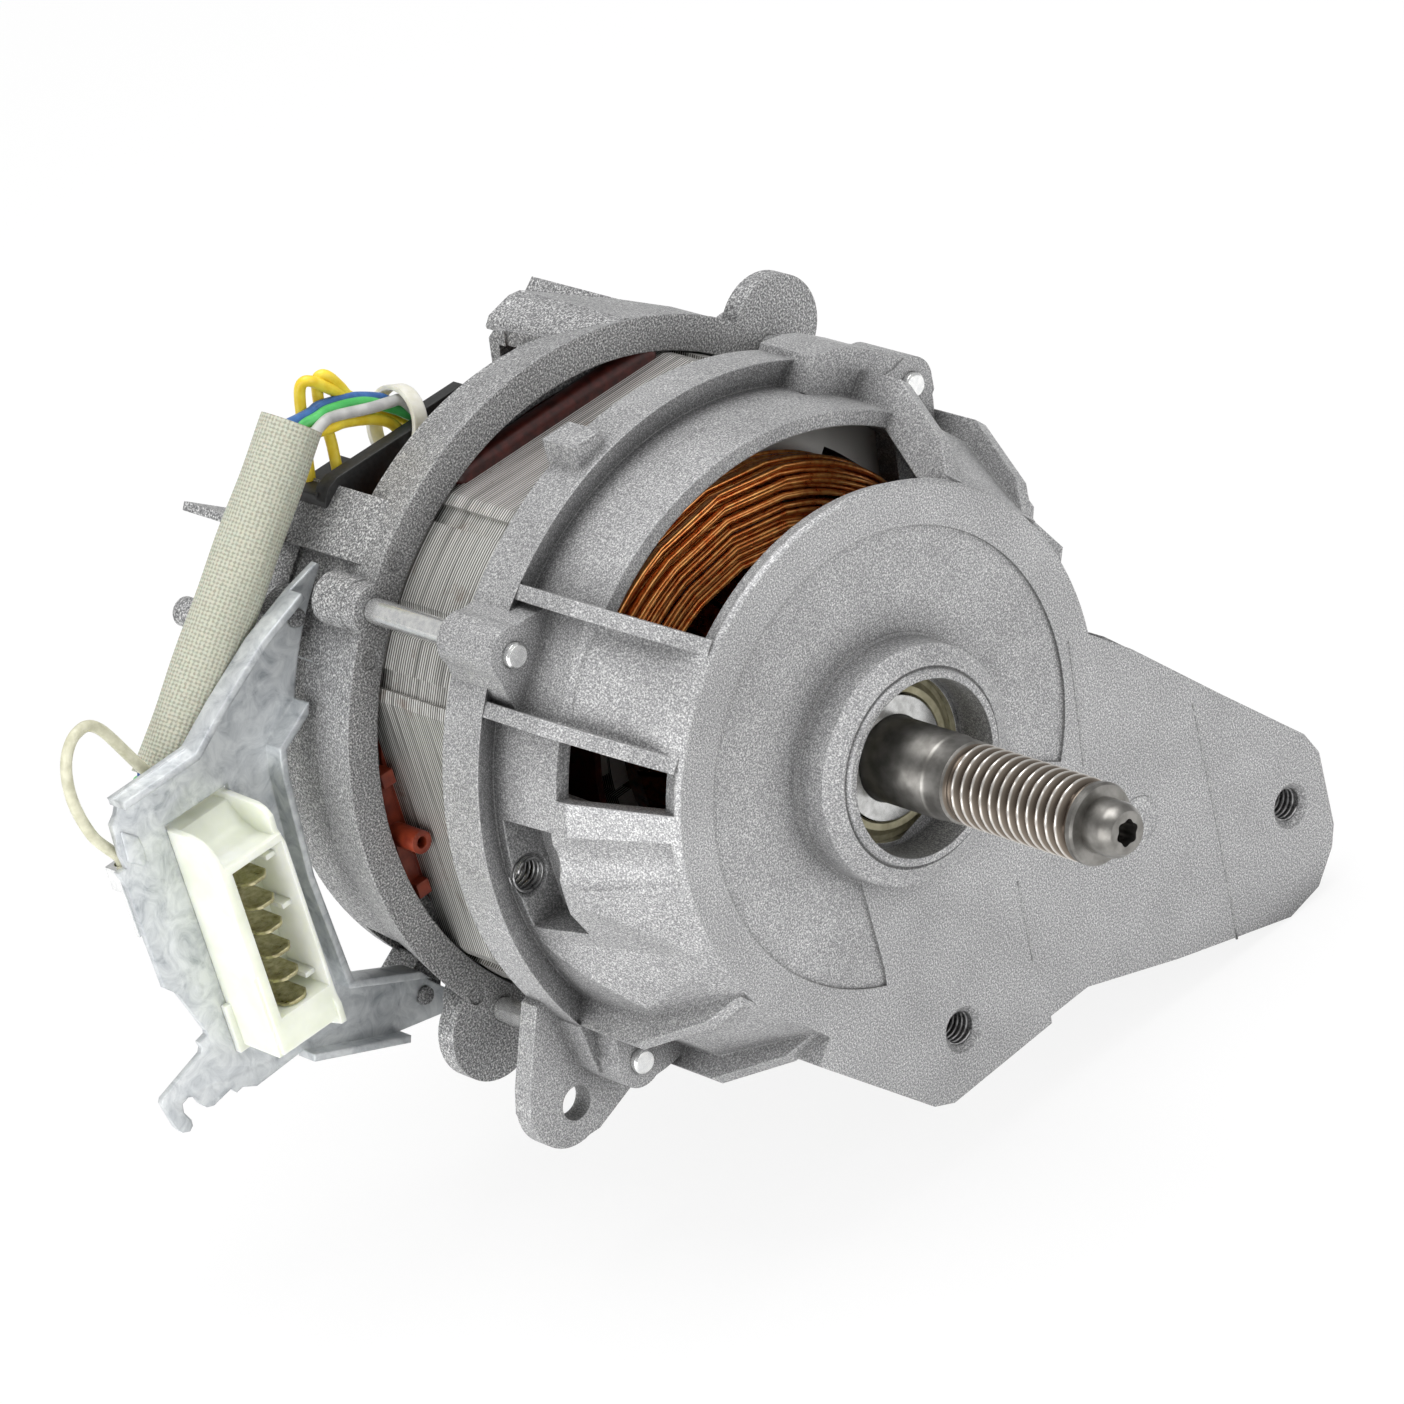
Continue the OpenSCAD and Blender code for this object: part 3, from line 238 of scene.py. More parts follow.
def galvanisedSheet(name, s):
    # hot-dip galvanised sheet: bluish grey with soft spangles and smeared rub marks
    mat, place = newMaterial(name)
    cells = addNode(mat, "TexVoronoi", {"Scale": perMetre(s["spangle"]), "Randomness": 1.0},
                    {"Vector": (place, "Object")})
    smear = addNode(mat, "TexNoise",
                    {"Scale": perMetre(5), "Detail": 6.0, "Roughness": 0.65, "Distortion": 1.2},
                    {"Vector": (place, "Object")})
    tint = addNode(mat, "Mix", {"data_type": "FLOAT", 0: 0.1}, {2: (smear, "Fac"), 3: (cells, "Color")})
    ramp = addNode(mat, "ValToRGB", links={"Fac": (tint, 0)})
    setRamp(ramp, [(0.3, s["smear"]), (0.42, s["dark"]), (0.62, s["light"])])
    soft = addNode(mat, "Bevel", {"samples": 4, "Radius": 0.6 * mm})
    bump = addNode(mat, "Bump", {"Strength": 0.25, "Distance": 0.08 * mm},
                   {"Height": (smear, "Fac"), "Normal": (soft, "Normal")})
    rough = addNode(mat, "MapRange", {"To Min": 0.32, "To Max": 0.55}, {"Value": (smear, "Fac")})
    skin = addNode(mat, "BsdfPrincipled", {"Metallic": s["metallic"]},
                   {"Base Color": (ramp, "Color"), "Roughness": (rough, "Result"),
                    "Normal": (bump, "Normal")})
    return closeMaterial(mat, skin, "BSDF")


def enamelledCopper(name, bright, deep, cell):
    # copper wire under clear enamel: orange where it catches light, dark brown in the gaps
    mat, place = newMaterial(name)
    noise, ramp = addMottle(mat, place, cell, [(0.35, deep), (0.62, bright)],
                            {"Detail": 3.0, "Roughness": 0.7})
    rough = addNode(mat, "MapRange", {"To Min": 0.2, "To Max": 0.4}, {"Value": (noise, "Fac")})
    skin = addNode(mat, "BsdfPrincipled", {"Metallic": 0.88, "Coat Weight": 0.5, "Coat Roughness": 0.12},
                   {"Base Color": (ramp, "Color"), "Roughness": (rough, "Result")})
    return closeMaterial(mat, skin, "BSDF")


def wovenGlassSleeve(name, light, dark, cell):
    # woven glass-fibre sleeving: small raised knots in slanting rows, matt and slightly green
    mat, place = newMaterial(name)
    split = addNode(mat, "SeparateXYZ", links={"Vector": (place, "UV")})
    rows = []  # two sets of stripes that lean opposite ways; their product is the knots
    for sign in (1, -1):
        turned = addNode(mat, "Math", {"operation": "MULTIPLY", 1: sign * math.pi / cell},
                         {0: (split, "X")})
        along = addNode(mat, "Math", {"operation": "MULTIPLY", 1: math.pi / cell}, {0: (split, "Y")})
        total = addNode(mat, "Math", {"operation": "ADD"}, {0: (turned, "Value"), 1: (along, "Value")})
        rows.append(addNode(mat, "Math", {"operation": "SINE"}, {0: (total, "Value")}))
    knots = addNode(mat, "Math", {"operation": "MULTIPLY"}, {0: (rows[0], "Value"), 1: (rows[1], "Value")})
    lint = addNode(mat, "TexNoise", {"Scale": perMetre(0.5), "Detail": 2.0}, {"Vector": (place, "Object")})
    mixed = addNode(mat, "Math", {"operation": "MULTIPLY_ADD", 1: 0.35},
                    {0: (knots, "Value"), 2: (lint, "Fac")})
    ramp = addNode(mat, "ValToRGB", links={"Fac": (mixed, "Value")})
    setRamp(ramp, [(0.3, dark), (0.62, light)])
    bump = addNode(mat, "Bump", {"Strength": 0.45, "Distance": 0.15 * mm}, {"Height": (knots, "Value")})
    skin = addNode(mat, "BsdfPrincipled", {"Roughness": 0.85, "Subsurface Weight": 0.15,
                                           "Subsurface Scale": 1.5 * mm},
                   {"Base Color": (ramp, "Color"), "Normal": (bump, "Normal")})
    return closeMaterial(mat, skin, "BSDF")


def groundShaftSteel(name, s):
    # ground carbon steel: grey seat with turning lines; the thread painted darker and browner towards its
    # roots as painted shade, and bright at its crests as a painted highlight
    mat, place = newMaterial(name)
    split = addNode(mat, "SeparateXYZ", links={"Vector": (place, "Object")})
    flat = addNode(mat, "CombineXYZ", {"X": 0.0}, {"Y": (split, "Y"), "Z": (split, "Z")})
    radius = addNode(mat, "VectorMath", {"operation": "LENGTH"}, {0: (flat, "Vector")})
    crest = addNode(mat, "MapRange", {"From Min": s["root"] * mm, "From Max": s["crest"] * mm},
                    {"Value": (radius, "Value")})
    ground = addMottle(mat, place, 3, [(0.35, s["seatDark"]), (0.65, s["seat"])], {"Detail": 5.0})[1]
    # painted shade in the thread's grooves and a painted highlight on its crests
    ramp = addNode(mat, "ValToRGB", links={"Fac": (crest, "Result")})
    setRamp(ramp, [(0.0, s["grooveShade"]), (0.75, s["flank"]), (1.0, s["bright"])])
    afterSeat = addNode(mat, "Math", {"operation": "GREATER_THAN", 1: s["threadFrom"] * mm},
                        {0: (split, "X")})
    beforeEnd = addNode(mat, "Math", {"operation": "LESS_THAN", 1: s["threadTo"] * mm}, {0: (split, "X")})
    inThread = addNode(mat, "Math", {"operation": "MULTIPLY"},
                       {0: (afterSeat, "Value"), 1: (beforeEnd, "Value")})
    tone = addNode(mat, "Mix", {"data_type": "RGBA"},
                   {0: (inThread, "Value"), 6: (ground, "Color"), 7: (ramp, "Color")})
    lines = addNode(mat, "TexNoise", {"noise_dimensions": "1D", "Scale": 1.0, "Detail": 2.0})
    along = addNode(mat, "Math", {"operation": "MULTIPLY", 1: perMetre(0.25)}, {0: (split, "X")})
    mat.node_tree.links.new(along.outputs["Value"], lines.inputs["W"])
    bump = addNode(mat, "Bump", {"Strength": 0.3, "Distance": 0.04 * mm}, {"Height": (lines, "Fac")})
    skin = addNode(mat, "BsdfPrincipled", {"Metallic": 0.95, "Roughness": 0.34},
                   {"Base Color": (tone, 2), "Normal": (bump, "Normal")})
    return closeMaterial(mat, skin, "BSDF")


shaftSteelSettings = {"root": 6.75, "crest": 7.9, "threadFrom": 21.7, "threadTo": 54.6, "grooveShade": "#463d35",
                      "flank": "#83796e", "bright": "#e6e2dc", "seat": "#8f8d89", "seatDark": "#706e6a"}
frontCast = dieCastAluminium("shotBlastedCastAluminium", castSettings)
rearCast = dieCastAluminium("coarseCastAluminium", rearCastSettings)
laminated = siliconSteelLaminations("laminatedSiliconSteel", laminationSettings)
galvanised = galvanisedSheet("galvanisedSheetSteel", galvanisedSettings)
# bright orange field windings, their tones lifted as painted light to make up for the shade they sit in;
# dark varnished ones behind the vents
copperWire = enamelledCopper("enamelledCopperWire", "#ffb868", "#dc7630", 2.2)
copperDark = enamelledCopper("varnishedCopperDark", "#7a3510", "#2a0f06", 2.0)
# near-white zinc on the bolts
zincSteel = plainMetal("zincPlatedSteel", "#f6f6f4", "#e2e3e3", 1.2, 0.9, 0.2, 0.01)
shaftSteel = groundShaftSteel("groundShaftSteel", shaftSteelSettings)
# bright bearing rings and their duller olive shields
bearingSteel = plainMetal("polishedBearingSteel", "#c9c9c8", "#a6a6a4", 2.0, 1.0, 0.22, 0.01)
bearingSeal = plainMetal("oliveSteelBearingShield", "#b3ad92", "#8f8a70", 3.0, 0.7, 0.4, 0.02)
# warm reddish segments
commCopper = plainMetal("turnedCommutatorCopper", "#c27a4a", "#8a4d2b", 2.0, 1.0, 0.35, 0.02)
# blades of a dull straw tone, brush tubes of a clear yellow one, springs of a plain grey one
tinnedBrass = plainMetal("tinnedBrassBlade", "#c4bd98", "#968e6c", 1.5, 1.0, 0.3, 0.02)
brushBrass = plainMetal("pressedBrass", "#c9a555", "#94783a", 2.0, 1.0, 0.35, 0.02)
springSteel = plainMetal("springSteelWire", "#b9b9b9", "#858585", 1.0, 1.0, 0.3, 0.01)
# matt near-black brushes and magnet
carbonBlock = plainPlastic("pressedCarbon", "#2b2b2c", "#1a1a1b", 0.5, 0.6, 0.05)
magnetBlock = plainPlastic("sinteredFerrite", "#3a3a3c", "#252527", 0.6, 0.6, 0.05)
# brick-red coil former and the dark maroon liner with a dull sheen
formerPlastic = plainPlastic("redBrownPolyester", "#8e3a22", "#6c2413", 3.0, 0.38, 0.04, 0.05)
insulationSheet = plainPlastic("varnishedFibreSheet", "#4c1b15", "#2e0f0b", 2.0, 0.42, 0.08)
# black carrier and cover, cream fan, milky socket and tie
blackPlastic = plainPlastic("blackGlassFilledPolyester", "#242424", "#161616", 0.8, 0.5, 0.05)
fanPlastic = plainPlastic("creamNylonFan", "#d8d2bd", "#bdb69f", 4.0, 0.5, 0.04)
nylonHousing = plainPlastic("naturalNylon", "#edf0e3", "#e0e4d4", 8.0, 0.34, 0.03, 0.7, 0.1, 3.0)
nylonTie = plainPlastic("naturalNylonTie", "#ebe9de", "#d8d5c6", 3.0, 0.4, 0.03, 0.4)
sleeveWeave = wovenGlassSleeve("wovenGlassSleeving", "#babbab", "#969788", 0.8)
# smooth, slightly glossy lead coats; the cream one is duller silicone
leadFinish = {
    "yellow": plainPlastic("yellowLeadPvc", "#f7e04a", "#ebca2c", 3.0, 0.38, 0.02, 0.05),
    "blue": plainPlastic("blueLeadPvc", "#4272b0", "#2c5690", 3.0, 0.38, 0.02, 0.05),
    "green": plainPlastic("greenLeadPvc", "#5cc66e", "#43ac57", 3.0, 0.38, 0.02, 0.05),
    "grey": plainPlastic("greyLeadPvc", "#c6c6c4", "#a9a9a8", 3.0, 0.38, 0.02, 0.05),
    "cream": plainPlastic("creamSiliconeLead", "#cfcdb6", "#b3b198", 2.5, 0.45, 0.04, 0.1)}
print("materials made")


# Helpers for meshes; their points are in millimetres
def makePiece(name, verts, faces, mat, node=None, body="motor_frame", smooth=True, uvs=None):
    mesh = bpy.data.meshes.new(name)
    mesh.from_pydata([Vector(v) * mm for v in verts], [], faces)
    mesh.polygons.foreach_set("use_smooth", [smooth] * len(mesh.polygons))
    mesh.materials.append(mat)
    if uvs:
        layer = mesh.uv_layers.new(name="length")
        for loop in mesh.loops:
            layer.data[loop.index].uv = uvs[loop.vertex_index]
    mesh.update()
    return placePiece(name, mesh, node, body)


def around(sides):
    return [2 * math.pi * k / sides for k in range(sides)]  # angles of the points of a ring


def joinRings(faces, first, second, sides, flip=False):
    # first and second are the numbers of the rings' first points
    for k in range(sides):
        n = (k + 1) % sides
        face = (first + k, first + n, second + n, second + k)
        faces.append(tuple(reversed(face)) if flip else face)


def addPrism(verts, faces, outline, low, high, axis="x"):
    start, n = len(verts), len(outline)
    for level in (low, high):
        for a, b in outline:
            verts.append((level, a, b) if axis == "x" else (a, level, b))
    faces.append(tuple(start + k for k in range(n)))
    faces.append(tuple(start + n + k for k in reversed(range(n))))
    for k in range(n):
        m = (k + 1) % n
        faces.append((start + k, start + n + k, start + n + m, start + m))


def rectangle(a0, b0, a1, b1):
    return [(a0, b0), (a1, b0), (a1, b1), (a0, b1)]


def rawSolid(build):
    # a closed solid with its faces turned outwards, for the joining and cutting in shapedPiece
    verts, faces = [], []
    build(verts, faces)
    mesh = bpy.data.meshes.new("raw")
    mesh.from_pydata([Vector(v) * mm for v in verts], [], faces)
    work = bmesh.new()
    work.from_mesh(mesh)
    bmesh.ops.recalc_face_normals(work, faces=work.faces)
    work.to_mesh(mesh)
    work.free()
    solid = bpy.data.objects.new("raw", mesh)
    bpy.context.scene.collection.objects.link(solid)
    return solid


def prismOf(outline, low, high, axis="x"):
    return lambda verts, faces: addPrism(verts, faces, outline, low, high, axis)


def rodOf(a, b, radius, sides=32):
    return lambda verts, faces: addTube(verts, faces, [Vector(a), Vector(b)], radius, sides)


def shapedPiece(name, adds, cuts, mat, bevel, segments, node=None):
    # solids joined, then cut, then rounded at their edges
    base = rawSolid(adds[0])
    tools = [(rawSolid(b), "UNION") for b in adds[1:]] + [(rawSolid(b), "DIFFERENCE") for b in cuts]
    for tool, how in tools:
        step = base.modifiers.new(how, "BOOLEAN")
        step.operation, step.object, step.solver = how, tool, "EXACT"
    step = base.modifiers.new("soften", "BEVEL")
    step.width, step.segments = bevel * mm, segments
    step.limit_method, step.angle_limit = "ANGLE", math.radians(32)
    bpy.context.view_layer.update()
    mesh = bpy.data.meshes.new_from_object(base.evaluated_get(bpy.context.evaluated_depsgraph_get()))
    for old in [base] + [tool for tool, how in tools]:
        spare = old.data
        bpy.data.objects.remove(old)
        bpy.data.meshes.remove(spare)
    mesh.name = name
    mesh.materials.clear()
    mesh.materials.append(mat)
    mesh.polygons.foreach_set("use_smooth", [True] * len(mesh.polygons))
    mesh.set_sharp_from_angle(angle=math.radians(40))
    placePiece(name, mesh, node, "motor_frame")


def placePiece(name, mesh, node, body):
    # a piece that stands for a CAD node hides that node
    piece = bpy.data.objects.new(name, mesh)
    bpy.context.scene.collection.objects.link(piece)
    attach(piece, body)
    if node:
        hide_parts(node)
    return piece


def smoothPath(points, steps):
    # smooth curve through the points
    pts = [Vector(p) for p in points]
    path = []
    for i in range(len(pts) - 1):
        a, b, c, d = pts[max(i - 1, 0)], pts[i], pts[i + 1], pts[min(i + 2, len(pts) - 1)]
        for k in range(steps):
            t = k / steps
            path.append(0.5 * (2 * b + (c - a) * t + (2 * a - 5 * b + 4 * c - d) * t * t
                               + (3 * b - 3 * c + d - a) * t ** 3))
    path.append(pts[-1])
    return path


def addTube(verts, faces, path, radius, sides, closed=False, flat=1.0):
    count, start = len(path), len(verts)
    side = None  # carried from ring to ring, so that the tube does not twist
    for i, p in enumerate(path):
        ahead = path[(i + 1) % count] if closed else path[min(i + 1, count - 1)]
        behind = path[i - 1] if closed or i else path[0]
        along = (ahead - behind).normalized()
        if side is None:
            side = along.orthogonal().normalized()
        side = (side - along * side.dot(along)).normalized()
        other = along.cross(side)
        for a in around(sides):
            verts.append(p + side * (radius * math.cos(a)) + other * (radius * flat * math.sin(a)))
    for i in range(count if closed else count - 1):
        joinRings(faces, start + i * sides, start + (i + 1) % count * sides, sides)
    if not closed:
        faces.append(tuple(start + k for k in reversed(range(sides))))
        faces.append(tuple(start + (count - 1) * sides + k for k in range(sides)))


def addRevolved(verts, faces, profile, sides, radiusAt):
    # rings round the X axis; profile holds (radius, x)
    start = len(verts)
    for r, x in profile:
        for a in around(sides):
            radius = radiusAt(r, x, a)
            verts.append((x, radius * math.cos(a), radius * math.sin(a)))
    for i in range(len(profile) - 1):
        joinRings(faces, start + i * sides, start + (i + 1) * sides, sides)


# Leads: they follow the CAD routes
leadSettings = {"radius": 1.15, "sides": 14, "steps": 10, "sheetX": -93, "sleeveR": 6.4, "sleeveWall": 0.8,
                "gap": 0.8, "bladeY": -91.3, "firstBlade": 6.2, "bladePitch": 5.45}
sleeveTop, sleeveEnd = Vector((-101.2, -40.1, 73.8)), Vector((-101.2, -92.4, 23.7))
sleeveAlong = (sleeveEnd - sleeveTop).normalized()


def inSleeve(place, t):
    # one of six places round the sleeve's axis, t from its top to its end
    angle = math.radians(60 * place)
    across = sleeveAlong.cross(Vector((1, 0, 0)))
    s = leadSettings
    offset = s["sleeveR"] - s["sleeveWall"] - s["radius"] - s["gap"]
    return sleeveTop + (sleeveEnd - sleeveTop) * t + offset * (math.cos(angle) * Vector((1, 0, 0))
                                                               + math.sin(angle) * across)


def toBlade(place, blade):
    # out of the sleeve and down a lane of its own to the foot of a blade
    y, height = leadSettings["bladeY"], leadSettings["firstBlade"] - leadSettings["bladePitch"] * blade
    lane = leadSettings["sheetX"] - 10.6 - 3 * blade
    return [inSleeve(place, 0.14), inSleeve(place, 0.5), inSleeve(place, 0.9), inSleeve(place, 1.01),
            (lane, y, 18), (lane, y, height + 2), (lane + 1, y, height),
            (leadSettings["sheetX"] - 9, y, height)]


leadRoutes = {
    "lead_yellow_a": ("yellow", [
        (-106, -37.4, 57.5), (-106.4, -36.4, 61), (-107.5, -34.4, 66.8), (-108, -32.6, 73.3),
        (-107.5, -31.6, 76.2), (-106.5, -30.1, 76.4), (-106.5, -26.7, 73), (-107, -23.1, 69.1),
        (-107, -17, 63.5), (-105.5, -8, 56), (-102.15, -3, 49.5)]),
    "lead_yellow_b": ("yellow", [
        (-103.5, -32.3, 58), (-104.3, -31.4, 61), (-106, -30, 63.9), (-108, -28.9, 69), (-108, -27.8, 74.4),
        (-107.5, -26.7, 75.6), (-107, -25.4, 74.6), (-107, -23.7, 71.5), (-107, -22.2, 68.5),
        (-107, -16, 62), (-105.5, -10, 55), (-102.15, -8.5, 48)]),
    "lead_yellow_c": ("yellow", [
        (-102.15, -14, 51), (-103.6, -14.9, 55.5), (-104, -16.1, 58.8), (-104, -17.6, 61),
        (-103.9, -21, 63.5), (-103.5, -27.1, 66.3), (-102.6, -31.5, 67.6),
        inSleeve(4, 0.05)] + toBlade(4, 2)),
    "lead_blue": ("blue", [
        (-102.15, -2, 55), (-103.8, -9, 58.5), (-105, -15.2, 63.9), (-105.4, -17.3, 65.8),
        (-106, -22.9, 68.8), (-106, -30, 70.9), (-105.6, -33.4, 71),
        inSleeve(2, 0.06)] + toBlade(2, 0)),
    "lead_green": ("green", [
        (-102.15, -5, 53), (-103, -10, 57), (-103.5, -13, 60.3), (-104, -16.2, 63.5),
        (-104.3, -21.7, 67.5), (-104.3, -29.2, 70), (-103.8, -33.6, 70.4),
        inSleeve(3, 0.06)] + toBlade(3, 3)),
    "lead_grey": ("grey", [
        (-102.15, -9, 53), (-102.2, -12.4, 61.3), (-102.4, -14.3, 64.4), (-102.6, -16.7, 65.2),
        (-102.6, -21.5, 66.5), (-102.6, -29.4, 69.1), (-102, -33.3, 69.6),
        inSleeve(5, 0.06)] + toBlade(5, 1)),
    "earth_lead": ("cream", [
        inSleeve(0, 0.9), inSleeve(0, 0.98), (-98, -96.5, 29), (-98, -103.5, 43), (-97, -109, 45.4),
        (-97, -113, 41.5), (-97, -114.5, 34), (-97, -113, 25), (-96.2, -109.6, 18.4),
        (-96.2, -109.6, 15.5), (-96.2, -109.6, 12.5)])}
for name, (finish, route) in leadRoutes.items():
    verts, faces = [], []
    addTube(verts, faces, smoothPath(route, leadSettings["steps"]), leadSettings["radius"],
            leadSettings["sides"])
    makePiece(name + "_run", verts, faces, leadFinish[finish], name)
print("leads laid")


# Woven sleeve round the leads
sleeveSettings = {"rings": 120, "sides": 72, "inset": 0.15, "girth": 36}


def addSleeve(s):
    # uvs count millimetres, a whole number of knots around; small dents keep the tube from looking turned
    rings, sides, verts, faces, uvs = s["rings"], s["sides"], [], [], []
    length = (sleeveEnd - sleeveTop).length
    across = sleeveAlong.cross(Vector((1, 0, 0)))
    for wall in (0, leadSettings["sleeveWall"]):
        for i in range(rings + 1):
            t = i / rings
            for k, a in enumerate(around(sides)):
                dent = 0.12 * math.sin(7 * t + 2 * a) + 0.1 * math.sin(19 * t + 3 * a + 1)
                r = leadSettings["sleeveR"] - s["inset"] - wall + dent
                verts.append(sleeveTop + (sleeveEnd - sleeveTop) * t
                             + r * (math.cos(a) * Vector((1, 0, 0)) + math.sin(a) * across))
                uvs.append((s["girth"] * k / sides, t * length))
    step = (rings + 1) * sides
    for i in range(rings):
        for k in range(sides):
            n = (k + 1) % sides
            a, b, c, d = i * sides + k, i * sides + n, (i + 1) * sides + n, (i + 1) * sides + k
            faces.append((a, d, c, b))
            faces.append((step + a, step + b, step + c, step + d))
    for i in (0, rings):
        for k in range(sides):
            n = (k + 1) % sides
            a, b = i * sides + k, i * sides + n
            faces.append((a, b, step + b, step + a) if i == 0 else (b, a, step + a, step + b))
    makePiece("woven_sleeve", verts, faces, sleeveWeave, "harness_sleeve", uvs=uvs)


addSleeve(sleeveSettings)
print("sleeve made")


# Field windings: a bundle of single wires with the outline of the CAD form
windingSettings = {"midX": -61.5, "firstR": 40.0, "halfLength": 21.6, "halfArc": 39.0, "arcR": 40.4,
                   "ease": 0.42, "spread": 0.93, "wire": 0.5, "wireSides": 6, "layers": 12, "rows": 11,
                   "layerStep": 0.98, "lastLayer": 11.4, "lastRow": 10.4, "steps": 120, "wander": 0.3,
                   "flare": 5.5, "stackHalf": 25, "headReach": 6}


def eased(v, power):
    # a cosine or sine eased towards 1 gives a loop with long straight sides
    return math.copysign(abs(v) ** power, v)


def windingPoint(s, turn, layer, row, flip):
    # the heads outside the stack lean in towards the shaft by the flare
    x = s["midX"] + (s["halfLength"] + row) * eased(math.cos(turn), s["ease"])
    head = min(1, max(0, (abs(x - s["midX"]) - s["stackHalf"]) / s["headReach"]))
    r = s["firstR"] + layer - s["flare"] * head * (1 - layer / s["layers"])
    a = (s["halfArc"] + row) * eased(math.sin(turn), s["ease"]) / s["arcR"] * s["spread"]
    return Vector((x, flip * r * math.sin(a), flip * r * math.cos(a)))


def addWinding(name, s, flip, seed, node):
    rng = random.Random(seed)
    verts, faces = [], []
    for layer in range(s["layers"]):
        for row in range(s["rows"]):
            if 0 < layer < s["layers"] - 2 and 1 < row < s["rows"] - 2:
                continue  # wires deep in the bundle are never seen
            phase = [rng.uniform(0, 6.28) for _ in range(4)]
            path = []
            for k in range(s["steps"]):
                t = 2 * math.pi * k / s["steps"]
                dr = s["wander"] * (math.sin(t + phase[0]) + 0.6 * math.sin(3 * t + phase[1]))
                dw = s["wander"] * (math.sin(2 * t + phase[2]) + 0.6 * math.sin(5 * t + phase[3]))
                layerAt = min(max(layer * s["layerStep"] + dr, 0), s["lastLayer"])
                rowAt = min(max(row + dw, 0), s["lastRow"])
                path.append(windingPoint(s, t, layerAt, rowAt, flip))
            addTube(verts, faces, path, s["wire"], s["wireSides"], closed=True)
    makePiece(name, verts, faces, copperWire, node)


addWinding("upper_winding", windingSettings, 1, 11, "field_coil_upper")
addWinding("lower_winding", windingSettings, -1, 12, "field_coil_lower")
print("windings wound")


# Shaft with its real thread and the six-lobed socket in its end
shaftSettings = {"pitch": 2.5, "start": 22.2, "end": 54.4, "crest": 7.9, "root": 6.75, "sides": 72,
                 "steps": 14, "runOut": 1.2, "steep": 2.6, "groove": 0.12, "endX": 63, "socketX": 55.5,
                 "tipX": 54, "socketR": 2.45, "socketWave": 0.22}
seatProfile = [(0.01, -134.4), (5, -134.4), (5.5, -134), (5.5, -123.5), (7.5, -122.5), (7.5, -105),
               (9, -104), (9, -30), (10.6, -29), (10.6, -12.1), (8.51, -12.1), (8.51, -0.5), (8.3, -0.1),
               (8.3, 16.4), (8.2, 16.6), (8, 17.2), (8, 21.4), (7.2, 21.9)]
endProfile = [(7.4, 54.5), (7.9, 54.8), (7.9, 55.9), (7.5, 56.4), (5.3, 56.41), (5.35, 60.6), (5.0, 61.8),
              (4.1, 63)]


def addShaft(s):
    count = int((s["end"] - s["start"]) / s["pitch"] * s["steps"])
    thread = [(None, s["start"] + (s["end"] - s["start"]) * i / count) for i in range(count + 1)]

    def radiusAt(r, x, a):
        if r is not None:
            return r
        turn = ((x - s["start"]) / s["pitch"] - a / (2 * math.pi)) % 1
        tooth = min(1, max(0, s["steep"] * (0.5 - abs(turn - 0.5)) - s["groove"]))
        fade = min(1, (x - s["start"]) / s["runOut"], (s["end"] - x) / s["runOut"])
        return s["root"] + (s["crest"] - s["root"]) * tooth * (0.25 + 0.75 * max(0, fade))

    verts, faces = [], []
    addRevolved(verts, faces, seatProfile + thread + endProfile, s["sides"], radiusAt)
    sides, last = s["sides"], len(verts) - s["sides"]
    for x in (s["endX"], s["socketX"]):
        for a in around(sides):
            r = s["socketR"] + s["socketWave"] * math.cos(6 * a)
            verts.append((x, r * math.cos(a), r * math.sin(a)))
    verts.append((s["tipX"], 0, 0))
    top, deep, tip = last + sides, last + 2 * sides, len(verts) - 1
    joinRings(faces, last, top, sides)
    joinRings(faces, top, deep, sides)
    for k in range(sides):
        faces.append((deep + k, deep + (k + 1) % sides, tip))
    shaft = makePiece("threaded_shaft", verts, faces, shaftSteel, "rotor_shaft", "rotor")
    shaft.data.set_sharp_from_angle(angle=math.radians(36))


addShaft(shaftSettings)
print("shaft threaded")


# Blades with chamfered tips, a narrow tail and a round mark on both sides
bladeSettings = {"count": 6, "width": 6.3, "thick": 0.8, "tail": -98, "tip": -80.5, "hole": -82.9,
                 "y": leadSettings["bladeY"], "first": leadSettings["firstBlade"],
                 "pitch": leadSettings["bladePitch"]}


